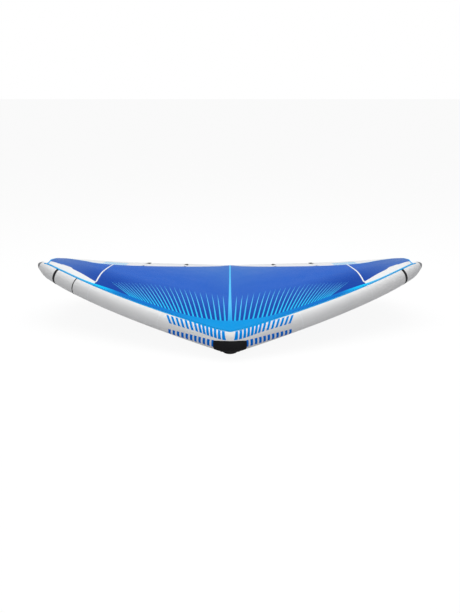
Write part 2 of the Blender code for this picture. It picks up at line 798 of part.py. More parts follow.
def arc_tape(word, side):
    """White tape over the seam between the main panel and the tip panel."""
    number = STATION_SHARES.index(ARC_SEAM_SHARE)
    before, after = STATION_SHARES[number - 1], STATION_SHARES[number + 1]
    bottom, top = [], []
    rows = main_rows(ARC_SEAM_SHARE)[1:]
    for row, along in enumerate(rows, start=1):
        layers = []
        for lift in (CLOTH + CLOTH_GAP, CLOTH + CLOTH_GAP + TAPE_THICK):
            middle = canopy_layer(ARC_SEAM_SHARE, along, lift, side)
            near = canopy_layer(before, main_rows(before)[row], lift, side)
            far_along = along if along > wedge_end(after) else max(along, 0.0)
            far = canopy_layer(after, far_along, lift, side)
            half = ARC_TAPE_WIDTH / 2.0
            layers.append([middle + unit(near - middle) * half, middle,
                           middle + unit(far - middle) * half])
        bottom.append(layers[0])
        top.append(layers[1])
    slab(f"arc_seam_tape_{word}", bottom, top, "white_ripstop")


def band_point(column, row, lift, side):
    """A point over the middle between two columns of the rear panel, at a row number."""
    points = []
    for share in (STATION_SHARES[column], STATION_SHARES[column + 1]):
        rows = band_rows(share)
        low = min(int(row), BAND_ROWS - 1)
        here = canopy_layer(share, rows[low], lift, side)
        after = canopy_layer(share, rows[low + 1], lift, side)
        points.append(here + (after - here) * (row - low))
    return points


def batten_sections(column, end_shares, outline, side):
    """Copies of an outline of widths and heights along the middle between two columns."""
    sections = []
    start, end = (share * BAND_ROWS for share in end_shares)
    for row in (start, *range(1, BAND_ROWS), end):
        low, high = band_point(column, row, CLOTH, side)
        across = unit(high - low)
        low_up, high_up = band_point(column, row, CLOTH + CLOTH_GAP, side)
        up = unit((low_up + high_up) - (low + high))
        middle = (low + high) / 2.0
        sections.append([middle + across * width + up * height for width, height in outline])
    return sections


def batten(word, column, side):
    """A flat batten and the sewn pocket that holds it down."""
    half = BATTEN_WIDTH / 2.0
    low, high = CLOTH_GAP, CLOTH_GAP + BATTEN_THICK
    outline = [(-half, low), (half, low), (half, high), (-half, high)]
    loft(f"batten_{word}", batten_sections(column, BATTEN_END_SHARES, outline, side),
         "carbon_batten")
    inside = POCKET_INSIDE / 2.0
    wall = inside + POCKET_WALL
    foot = wall + POCKET_FLANGE
    flange = low + POCKET_WALL
    room = low + POCKET_ROOM
    roof = room + POCKET_WALL
    outline = [(-foot, low), (-foot, flange), (-wall, flange), (-wall, roof), (wall, roof),
               (wall, flange), (foot, flange), (foot, low), (inside, low), (inside, room),
               (-inside, room), (-inside, low)]
    loft(f"batten_pocket_{word}", batten_sections(column, POCKET_END_SHARES, outline, side),
         "white_ripstop")


# The strut

def strut_radius(depth):
    """Outer radius of the strut's sleeve."""
    mix = (depth - STRUT_START) / (STRUT_END - STRUT_START)
    return STRUT_FRONT_RADIUS + (STRUT_REAR_RADIUS - STRUT_FRONT_RADIUS) * mix


def strut_top(depth):
    """Height of the canopy's underside over the strut, straight between the canopy's rows."""
    points = [canopy_base(0.0, along) for along in main_rows(0.0)[1:]]
    return float(np.interp(depth, [p[1] for p in points], [p[2] for p in points])) - SEAM_GAP


def strut_section(depth):
    """Centre, up and side directions of the strut's section."""
    centre = np.array([0.0, depth, strut_top(depth) - strut_radius(depth)])
    return centre, np.array([0.0, 0.0, 1.0]), np.array([1.0, 0.0, 0.0])


def strut_bladder_radius(depth):
    """Radius at which the strut bladder's corners stay inside the sleeve's flat sides."""
    return (strut_radius(depth) - SLEEVE_WALL) * math.cos(math.pi / TUBE_SIDES) - LAY_GAP


def strut_places():
    """Stations of the strut, at the canopy's rows, and its two ends."""
    rows = [canopy_base(0.0, along)[1] for along in main_rows(0.0)[2:]]
    return [STRUT_START, *[row for row in rows if STRUT_START < row < STRUT_END], STRUT_END]


STRUT = Tube(strut_places(), strut_section, strut_radius, TUBE_SIDES, 1.0)
STRUT_BLADDER = Tube(strut_places(), strut_section, strut_bladder_radius, BLADDER_SIDES, 1.0)


def strut():
    """Sleeve, bladder and rear cap of the strut."""
    sleeve = tube_shell("strut_sleeve", STRUT, STRUT.stations, SLEEVE_WALL, "white_dacron")
    reach = STRUT_NOSE_SHARE
    nose = [LEADING.ring(place, SEAM_GAP) for place in LEADING.between(-reach, reach)]
    combine(sleeve, loft("nose_cutter", nose, "white_dacron"), "DIFFERENCE")
    places = STRUT_BLADDER.between(STRUT_BLADDER_START, STRUT_BLADDER_END)
    bladder = balloon("strut_bladder", STRUT_BLADDER, places, BLADDER_WALL, "bladder_tpu")
    strut_cap()
    return sleeve, bladder


def strut_cap():
    """Rounded cup that closes the rear end of the strut's sleeve."""
    end = STRUT.ring(STRUT_END)
    middle = end.mean(axis=0)
    back = np.array([0.0, 1.0, 0.0])
    outer, inner = [], []
    for share, along in STRUT_CAP_ROUND_SHARES:
        shift = back * (SEAM_GAP + along * STRUT_CAP_LENGTH)
        outer.append(middle + (end - middle) * share + shift)
        back_off = back * (SLEEVE_WALL if along == 1.0 else 0.0)
        thin = share - SLEEVE_WALL / strut_radius(STRUT_END)
        inner.append(middle + (end - middle) * thin + shift - back_off)
    pipe("strut_rear_cap", outer, inner, "black_rubber", closed_end=True)


# Handles

def strut_handle_frame(place, lift):
    """Frame of a handle under the strut: X along its hinge line, Z down, origin on that line."""
    lowest = STRUT.sides // 2
    ahead = STRUT.ring(place["middle"] + place["half"], lift)[lowest]
    behind = STRUT.ring(place["middle"] - place["half"], lift)[lowest]
    along = unit(ahead - behind)
    down = unit(np.cross(along, (1.0, 0.0, 0.0)))
    origin = (ahead + behind) / 2.0 + down * (KNUCKLE_RADIUS + KNUCKLE_RUN)
    return frame(origin, along, np.cross(down, along), down)


def nose_handle_frame():
    """Frame of the nose handle: X along the span, Z down, clear of the pad between its ends."""
    lift = LAY_GAP + NOSE_PAD_THICK
    lowest = LEADING.sides // 2
    places = [place for place in LEADING.stations if 0.0 <= place <= PAD_SHARE]
    line = np.array([LEADING.ring(place, lift)[lowest] for place in places])
    inner = NOSE_HANDLE["half"] - KNUCKLE_LENGTH / 2.0
    depth = np.interp(inner, line[:, 0], line[:, 1])
    height = np.interp(inner, line[:, 0], line[:, 2]) - KNUCKLE_RADIUS - KNUCKLE_RUN
    return frame((0.0, depth, height), (1.0, 0.0, 0.0), (0.0, -1.0, 0.0), (0.0, 0.0, -1.0))


def knuckle(name, middle, placed, material_name):
    """Round end of a strap, about the handle's hinge line."""
    turns = [2.0 * math.pi * number / CYLINDER_SEGMENTS for number in range(CYLINDER_SEGMENTS)]
    sections = []
    for x in (middle - KNUCKLE_LENGTH / 2.0, middle + KNUCKLE_LENGTH / 2.0):
        sections.append([(x, KNUCKLE_RADIUS * math.cos(t), KNUCKLE_RADIUS * math.sin(t))
                         for t in turns])
    return loft(name, sections, material_name, placed)


def tab(name, start, end, seat, placed, material_name):
    """Webbing tab that carries a strap's round end: round below, square into its patch above."""
    top = -(KNUCKLE_RADIUS + KNUCKLE_RUN + seat)
    turns = [math.pi * number / TAB_ARC_STEPS for number in range(TAB_ARC_STEPS + 1)]
    outline = [(KNUCKLE_RADIUS * math.cos(t), KNUCKLE_RADIUS * math.sin(t)) for t in turns]
    outline += [(-KNUCKLE_RADIUS, top), (KNUCKLE_RADIUS, top)]
    sections = [[(x, y, z) for y, z in outline] for x in (start, end)]
    return loft(name, sections, material_name, placed)


def strap_places(place):
    """Along and down places of the strap's middle line, and its width there."""
    half, drop, width = place["half"], place["drop"], place["width"]
    rows = zip(STRAP_ALONG_SHARES, STRAP_DROP_SHARES, STRAP_WIDTH_SHARES)
    left = [(-half * (1.0 - along), drop * down, width * wide) for along, down, wide in rows]
    return left + [(-x, z, w) for x, z, w in reversed(left)]


def strap(name, place, placed):
    """Webbing strap with a round knuckle at each end."""
    places = strap_places(place)
    line = np.array([(x, z) for x, z, _ in places])
    sections = []
    for number, (x, z, width) in enumerate(places):
        before, after = line[max(number - 1, 0)], line[min(number + 1, len(line) - 1)]
        along = unit(after - before)
        normal = np.array([-along[1], along[0]]) * STRAP_THICK / 2.0
        half = width / 2.0
        sections.append([(x - normal[0], -half, z - normal[1]), (x - normal[0], half, z - normal[1]),
                         (x + normal[0], half, z + normal[1]), (x + normal[0], -half, z + normal[1])])
    made = loft(name, sections, "black_webbing", placed)
    for side, word in ((-1.0, "a"), (1.0, "b")):
        end = knuckle(f"{name}_knuckle_{word}", side * place["half"], placed, "black_webbing")
        combine(made, end, "UNION")
    return made


def grip(name, place, placed):
    """Soft grip round the straight middle of a strap, with a slot for it."""
    half = place["half"] * GRIP_SHARE
    slot_w = place["width"] / 2.0 + GRIP_SLOT
    slot_t = STRAP_THICK / 2.0 + GRIP_SLOT
    slot = [(slot_w, 0.0), (slot_w, slot_t), (0.0, slot_t), (-slot_w, slot_t), (-slot_w, 0.0),
            (-slot_w, -slot_t), (0.0, -slot_t), (slot_w, -slot_t)]
    outer, inner = [], []
    for along, size in GRIP_ROUND_SHARES:
        turns = [2.0 * math.pi * number / GRIP_SIDES for number in range(GRIP_SIDES)]
        tall = place["grip"] * size
        wide = max(slot_w, tall) + GRIP_SLOT
        ring = [(half * along, wide * math.cos(t), place["drop"] + tall * math.sin(t))
                for t in turns]
        outer.append(ring)
        inner.append([(half * along, y, place["drop"] + z) for y, z in slot])
    return pipe(name, outer, inner, "black_foam", placed=placed)


def handle(name, place, placed, patch, with_grip=True):
    """A strap on two tabs of its patch, and its grip."""
    start = place["half"] + KNUCKLE_LENGTH / 2.0 + KNUCKLE_RUN
    for side, word in ((-1.0, "a"), (1.0, "b")):
        low, high = sorted((side * start, side * (start + TAB_LENGTH)))
        seat = tab(f"{name}_tab_{word}", low, high, place["seat"], placed, "black_webbing")
        combine(patch, seat, "UNION")
    strap(f"{name}_strap" if with_grip else name, place, placed)
    if with_grip:
        grip(f"{name}_grip", place, placed)


def strut_handle(name, place, with_grip=True):
    """A handle under the strut with its sewn patch."""
    reach = place["half"] + PATCH_OVERRUN
    places = STRUT.between(place["middle"] - reach, place["middle"] + reach)
    sides = list(range(PATCH_FIRST_SIDE, PATCH_LAST_SIDE + 1))
    patch = tube_patch(f"{name}_patch", STRUT, places, sides, LAY_GAP, PATCH_THICK, "black_webbing")
    handle(name, place, strut_handle_frame(place, LAY_GAP + PATCH_THICK), patch, with_grip)


def nose_handle():
    """Black pad round the nose, and the handle that hangs across below it."""
    places = LEADING.between(-PAD_SHARE, PAD_SHARE)
    sides = list(range(PAD_FIRST_SIDE, PAD_LAST_SIDE + 1))
    pad = tube_patch("nose_pad", LEADING, places, sides, LAY_GAP, NOSE_PAD_THICK, "black_foam")
    handle("nose_handle", NOSE_HANDLE, nose_handle_frame(), pad)


# Valve, hose and zip

def hole(target, placed, radius, name):
    """Round hole through a skin, along the Z axis of a frame."""
    cutter = spindle(name, ((radius, -OVERRUN), (radius, OVERRUN)), VALVE_SEGMENTS,
                     "grey_plastic", placed)
    combine(target, cutter, "DIFFERENCE")


def valve_frame():
    """Frame of the inflation valve: Z out of the tube, X round it, Y along it."""
    flat = LEADING.face_frame(VALVE_PLACE_SHARE, VALVE_SIDE, LAY_GAP)
    axes = np.array(flat)
    return frame(axes[:3, 3], axes[:3, 1], -axes[:3, 0], axes[:3, 2])


def inflation_valve(sleeve, bladder):
    """Valve body through sleeve and bladder, its sprung plunger and its hinged cap."""
    placed = valve_frame()
    for number, skin in enumerate((sleeve, bladder)):
        hole(skin, placed, VALVE_BODY_RADIUS + HOLE_RUN, f"valve_hole_{number}")
    out, bore, seat = VALVE_BODY_RADIUS, VALVE_BORE_RADIUS, VALVE_SEAT_RADIUS
    lip = VALVE_LIP_THICK - VALVE_DEPTH
    profile = [(out, -VALVE_DEPTH), (out, 0.0), (VALVE_FLANGE_RADIUS, 0.0),
               (VALVE_FLANGE_RADIUS, VALVE_FLANGE_THICK), (out, VALVE_FLANGE_THICK),
               (out, VALVE_NECK), (bore, VALVE_NECK), (bore, 0.0), (seat, 0.0),
               (seat, -VALVE_SEAT_THICK), (bore, -VALVE_SEAT_THICK), (bore, lip),
               (VALVE_LIP_RADIUS, lip), (VALVE_LIP_RADIUS, -VALVE_DEPTH)]
    base = turned("inflation_valve_body", profile, VALVE_SEGMENTS, "grey_plastic", placed)
    hinge = VALVE_NECK + CAP_RUN + CAP_THICK / 2.0
    near = CAP_ARM_WIDTH / 2.0 + VALVE_LUG_RUN
    for side, word in ((-1.0, "a"), (1.0, "b")):
        low, high = sorted((side * near, side * (near + VALVE_LUG_THICK)))
        lug = block(f"valve_lug_{word}",
                    (CAP_HINGE_REACH - VALVE_LUG_IN, low, VALVE_FLANGE_THICK - VALVE_LUG_SEAT),
                    (CAP_HINGE_REACH + VALVE_LUG_OUT, high, hinge + VALVE_LUG_OUT),
                    "grey_plastic", placed)
        combine(base, lug, "UNION")
    top = -VALVE_SEAT_THICK - PLUNGER_RUN
    spindle("inflation_valve_plunger",
            ((PLUNGER_RADIUS, top - PLUNGER_THICK), (PLUNGER_RADIUS, top), (PLUNGER_STEM, top),
             (PLUNGER_STEM, PLUNGER_TOP)), CYLINDER_SEGMENTS, "black_rubber", placed)
    valve_cap(placed, hinge)


def valve_cap(placed, hinge):
    """Cap over the valve's neck, on an arm that turns on the flange's lugs."""
    centre = placed @ Matrix.Translation((CAP_HINGE_REACH, 0.0, hinge))
    low = -CAP_THICK / 2.0
    sections = []
    for z in (low, -low):
        turns = [2.0 * math.pi * number / VALVE_SEGMENTS for number in range(VALVE_SEGMENTS)]
        sections.append([(CAP_RADIUS * math.cos(t) - CAP_HINGE_REACH, CAP_RADIUS * math.sin(t), z)
                         for t in turns])
    cap = loft("inflation_valve_cap", sections, "black_rubber", centre)
    half = CAP_ARM_WIDTH / 2.0
    arm = block("cap_arm", (CAP_RADIUS / 2.0 - CAP_HINGE_REACH, -half, -CAP_ARM_THICK / 2.0),
                (0.0, half, CAP_ARM_THICK / 2.0), "black_rubber", centre)
    combine(cap, arm, "UNION")
    combine(cap, cross_cylinder("cap_knuckle", CAP_KNUCKLE, half, centre, "black_rubber"), "UNION")


def cross_cylinder(name, radius, half, placed, material_name):
    """A cylinder along the Y axis of a frame."""
    turns = [2.0 * math.pi * number / CYLINDER_SEGMENTS for number in range(CYLINDER_SEGMENTS)]
    sections = [[(radius * math.cos(t), y, radius * math.sin(t)) for t in turns]
                for y in (-half, half)]
    return loft(name, sections, material_name, placed)


def nipple(name, placed, skins):
    """Hose fitting with a flange on the sleeve and a tube through both skins."""
    for number, skin in enumerate(skins):
        hole(skin, placed, NIPPLE_RADIUS + HOLE_RUN, f"{name}_hole_{number}")
    profile = [(NIPPLE_RADIUS, -NIPPLE_IN), (NIPPLE_RADIUS, 0.0), (NIPPLE_FLANGE_RADIUS, 0.0),
               (NIPPLE_FLANGE_RADIUS, NIPPLE_FLANGE_THICK), (NIPPLE_RADIUS, NIPPLE_FLANGE_THICK),
               (NIPPLE_RADIUS, NIPPLE_OUT), (NIPPLE_BORE, NIPPLE_OUT), (NIPPLE_BORE, -NIPPLE_IN)]
    turned(name, profile, NIPPLE_SEGMENTS, "grey_plastic", placed)


def hose_route(start_frame, end_frame):
    """The hose's middle line and its directions, from fitting to fitting."""
    start_axes, end_axes = np.array(start_frame), np.array(end_frame)
    out_a, out_b = start_axes[:3, 2], end_axes[:3, 2]
    first = start_axes[:3, 3] + out_a * (NIPPLE_OUT + LAY_GAP)
    last = end_axes[:3, 3] + out_b * (NIPPLE_OUT + LAY_GAP)
    p0, p3 = first + out_a * HOSE_RADIUS * 2.0, last + out_b * HOSE_RADIUS * 2.0
    p1, p2 = p0 + out_a * HOSE_REACH, p3 + out_b * HOSE_REACH
    places = [first]
    for number in range(HOSE_STEPS + 1):
        t = number / HOSE_STEPS
        s = 1.0 - t
        places.append(s ** 3 * p0 + 3 * s * s * t * p1 + 3 * s * t * t * p2 + t ** 3 * p3)
    places.append(last)
    return places


def hose(leading_skins, strut_skins):
    """One-pump hose with its two fittings and the clip that pinches it shut."""
    start = LEADING.face_frame(HOSE_PLACE_SHARE, HOSE_TUBE_SIDE, LAY_GAP)
    end = STRUT.face_frame(HOSE_STRUT_PLACE, HOSE_STRUT_SIDE, LAY_GAP)
    nipple("hose_fitting_leading_edge", start, leading_skins)
    nipple("hose_fitting_strut", end, strut_skins)
    route = hose_route(start, end)
    line = bpy.data.curves.new("pump_hose", "CURVE")
    line.dimensions = "3D"
    line.bevel_depth = HOSE_RADIUS
    line.bevel_resolution = HOSE_BEVEL_STEPS
    line.use_fill_caps = True
    spline = line.splines.new("POLY")
    spline.points.add(len(route) - 1)
    for point, place in zip(spline.points, route):
        point.co = (*place, 1.0)
    line.materials.append(material("clear_hose"))
    made = bpy.data.objects.new("pump_hose", line)
    made.parent = WING
    bpy.context.scene.collection.objects.link(made)
    pinch_clip(route)


def clip_frame(route):
    """Frame at the hose's middle: X along it, Z towards the outside of its bend."""
    middle = len(route) // 2
    here = route[middle]
    along = unit(route[middle + 1] - route[middle - 1])
    bow = here - (route[middle + 1] + route[middle - 1]) / 2.0
    out = unit(bow - along * bow.dot(along))
    return frame(here, along, np.cross(out, along), out)


def pinch_clip(route):
    """Ring round the hose with two lugs, and the lever between them."""
    placed = clip_frame(route)
    inside = HOSE_RADIUS + CLIP_RUN
    outside = inside + CLIP_WALL
    turns = [2.0 * math.pi * number / CLIP_SEGMENTS for number in range(CLIP_SEGMENTS)]
    rings = []
    for radius in (outside, inside):
        rings.append([[(x, radius * math.cos(t), radius * math.sin(t)) for t in turns]
                      for x in (-CLIP_LENGTH / 2.0, CLIP_LENGTH / 2.0)])
    base = pipe("pinch_clip_body", rings[0], rings[1], "grey_plastic", placed=placed)
    near = LEVER_HALF_WIDTH + LEVER_RUN
    for side, word in ((-1.0, "a"), (1.0, "b")):
        low, high = sorted((side * near, side * (near + CLIP_LUG_THICK)))
        seat = math.sqrt(outside ** 2 - (near + CLIP_LUG_THICK) ** 2) - CLIP_LUG_SEAT
        lug = block(f"clip_lug_{word}", (-CLIP_LUG_HALF, low, seat),
                    (CLIP_LUG_HALF, high, outside + CLIP_LUG_TOP), "grey_plastic", placed)
        combine(base, lug, "UNION")
    hinge = placed @ Matrix.Translation((0.0, 0.0, outside + LEVER_AXIS))
    half = LEVER_THICK / 2.0
    lever = block("pinch_clip_lever", (0.0, -LEVER_HALF_WIDTH, -half),
                  (LEVER_LENGTH, LEVER_HALF_WIDTH, half), "black_rubber", hinge)
    end = cross_cylinder("lever_knuckle", LEVER_KNUCKLE, LEVER_HALF_WIDTH, hinge, "black_rubber")
    combine(lever, end, "UNION")


def strut_zip():
    """Zip on the strut's side: tape, slider and the pull that turns on it."""
    placed = STRUT.face_frame(ZIP_START, ZIP_SIDE, LAY_GAP)
    half = ZIP_WIDTH / 2.0
    block("strut_zip_tape", (0.0, -half, 0.0), (ZIP_LENGTH, half, ZIP_THICK), "black_webbing", placed)
    low = ZIP_THICK + LAY_GAP
    top = low + SLIDER_THICK
    half = SLIDER_WIDTH / 2.0
    slider = block("zip_slider", (SLIDER_START, -half, low), (SLIDER_START + SLIDER_LENGTH, half, top),
                   "grey_plastic", placed)
    middle = SLIDER_START + SLIDER_LENGTH / 2.0
    reach, thin = SLIDER_LUG_LENGTH / 2.0, SLIDER_LUG_WIDTH / 2.0
    lug = block("slider_lug", (middle - reach, -thin, top - LAY_GAP),
                (middle + reach, thin, top + SLIDER_LUG_TOP), "grey_plastic", placed)
    combine(slider, lug, "UNION")
    zip_pull(placed @ Matrix.Translation((middle, 0.0, top + PULL_AXIS)), thin + PULL_RUN)


def zip_pull(placed, inside):
    """Forked pull with round ends on the slider's lug."""
    outside = inside + PULL_ARM
    half = PULL_THICK / 2.0
    pull = block("zip_pull", (PULL_FORK, -outside, -half), (PULL_LENGTH, outside, half),
                 "black_webbing", placed)
    for side, word in ((-1.0, "a"), (1.0, "b")):
        low, high = sorted((side * inside, side * outside))
        arm = block(f"pull_arm_{word}", (0.0, low, -half), (PULL_FORK + half, high, half),
                    "black_webbing", placed)
        middle = placed @ Matrix.Translation((0.0, (low + high) / 2.0, 0.0))
        end = cross_cylinder(f"pull_knuckle_{word}", PULL_KNUCKLE, PULL_ARM / 2.0, middle,
                             "black_webbing")
        combine(pull, arm, "UNION")
        combine(pull, end, "UNION")


def wing_frame():
    """Empty that sets the wing on its lowest point, its length centred on the origin."""
    front = (NOSE_RADIUS + LAY_GAP + NOSE_PAD_THICK) * math.cos(math.pi / TUBE_SIDES)
    made = bpy.data.objects.new("wing_frame", None)
    hinge = nose_handle_frame().translation
    lowest = hinge[2] - NOSE_HANDLE["drop"] - NOSE_HANDLE["grip"]
    made.location = (0.0, (front - EDGE_DEPTH) / 2.0, -lowest)
    bpy.context.scene.collection.objects.link(made)
    return made


def clear_scene():
    """Remove the objects that the scene starts with."""
    for known in list(bpy.data.objects):
        bpy.data.objects.remove(known, do_unlink=True)


clear_scene()
WING = wing_frame()
SLEEVES, BLADDER = leading_edge()
STRUT_SKINS = strut()
canopy()
nose_handle()
strut_handle("front_handle", FRONT_HANDLE)
strut_handle("rear_handle", REAR_HANDLE)
strut_handle("leash_loop", LEASH_LOOP, with_grip=False)
inflation_valve(SLEEVES["inner_right"], BLADDER)
hose((SLEEVES["centre"], BLADDER), STRUT_SKINS)
strut_zip()
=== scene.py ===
"""Looks of a wingfoil wing: an inflated leading edge and strut under a striped canopy.

Metres, +Z up, the nose towards -Y and the span along X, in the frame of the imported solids. Each
sub-assembly is a class that holds its sizes and builds and dresses its pieces.
"""

from __future__ import annotations

import json
import logging
import math
from dataclasses import dataclass, field
from enum import Enum

import bmesh
import bpy
import numpy as np
from mathutils import Matrix

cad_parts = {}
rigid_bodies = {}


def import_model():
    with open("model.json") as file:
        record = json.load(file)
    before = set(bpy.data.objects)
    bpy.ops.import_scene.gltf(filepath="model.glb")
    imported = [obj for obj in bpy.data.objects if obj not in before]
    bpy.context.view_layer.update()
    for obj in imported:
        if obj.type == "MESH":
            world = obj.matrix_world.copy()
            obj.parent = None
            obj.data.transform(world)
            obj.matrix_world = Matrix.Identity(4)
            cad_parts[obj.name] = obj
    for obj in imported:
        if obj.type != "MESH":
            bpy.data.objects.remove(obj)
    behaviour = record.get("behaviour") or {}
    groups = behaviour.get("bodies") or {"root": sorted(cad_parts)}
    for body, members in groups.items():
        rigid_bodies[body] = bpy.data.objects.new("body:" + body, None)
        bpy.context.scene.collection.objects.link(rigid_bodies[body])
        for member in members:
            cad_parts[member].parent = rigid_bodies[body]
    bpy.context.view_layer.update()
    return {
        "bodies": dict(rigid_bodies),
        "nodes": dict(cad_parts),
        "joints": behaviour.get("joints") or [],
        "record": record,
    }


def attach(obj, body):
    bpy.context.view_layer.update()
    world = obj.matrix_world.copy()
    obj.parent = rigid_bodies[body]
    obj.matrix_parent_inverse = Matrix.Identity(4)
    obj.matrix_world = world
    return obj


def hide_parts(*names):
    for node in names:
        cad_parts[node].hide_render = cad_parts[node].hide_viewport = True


LOG = logging.getLogger("wing")
Array = np.ndarray
Piece = bpy.types.Object
Material = bpy.types.Material
Shelf = dict[str, bpy.types.Material]
Pair = tuple[float, float]
Triple = tuple[float, float, float]
MM = 0.001
DEGREE = math.pi / 180.0
FULL_TURN = 2.0 * math.pi
WHITE = (1.0, 1.0, 1.0, 1.0)
TAPE_POINTS = 7
TAPE_POWER = 8
STEP = 1e-4
TINY = 1e-12
STITCH_SHARES = (-1.0, -0.75, 0.0, 0.75, 1.0)
STITCH_HALF_SHARE = 0.37
STITCH_SIDES = 6
STITCH_POWER = 4
STITCH_LEAST_SHARE = 0.1


class Side(Enum):
    """Half of the wing, with the sign of its X coordinates."""

    RIGHT = 1.0
    LEFT = -1.0

    @property
    def word(self) -> str:
        """The half's name in the names of pieces."""
        return self.name.lower()


def unit(vectors: Array) -> Array:
    """The vectors at length one."""
    return vectors / np.maximum(np.linalg.norm(vectors, axis=-1, keepdims=True), TINY)


def smooth_step(values: Array) -> Array:
    """0 to 1 with level ends: 3v² − 2v³ of the clipped value."""
    clipped = np.clip(values, 0.0, 1.0)
    return clipped * clipped * (3.0 - 2.0 * clipped)


def spread(low: float, high: float, step: float, fewest: int = 2) -> Array:
    """Even values from low to high, about a step apart.

    Args:
        low: First value.
        high: Last value.
        step: Largest distance between neighbours.
        fewest: Least number of values.

    Returns:
        The values, both ends among them.
    """
    return np.linspace(low, high, max(int(math.ceil(abs(high - low) / step)) + 1, fewest))


def even(count: int) -> Array:
    """0 to 1 in count even values."""
    return np.linspace(0.0, 1.0, count)


def eased(count: int, ease_share: float = 0.85) -> Array:
    """0 to 1 in count values, closer together at both ends by a share of a cosine."""
    plain = even(count)
    return (1.0 - ease_share) * plain + ease_share * (1.0 - np.cos(math.pi * plain)) / 2.0


def circle(count: int) -> Array:
    """Even angles of a full turn, the first one not repeated."""
    return np.linspace(0.0, FULL_TURN, count, endpoint=False)


def edge_to_edge(count: int, ease_share: float = 0.85) -> Array:
    """-1 to 1 in count values that lie closer together at both ends."""
    return eased(count, ease_share) * 2.0 - 1.0


def crown(shares: Array, power: int, least_share: float = 0.04) -> Array:
    """Height of a rounded top over shares -1 to 1: the root of 1 less their power."""
    return np.sqrt(np.clip(1.0 - shares ** power, least_share, 1.0))


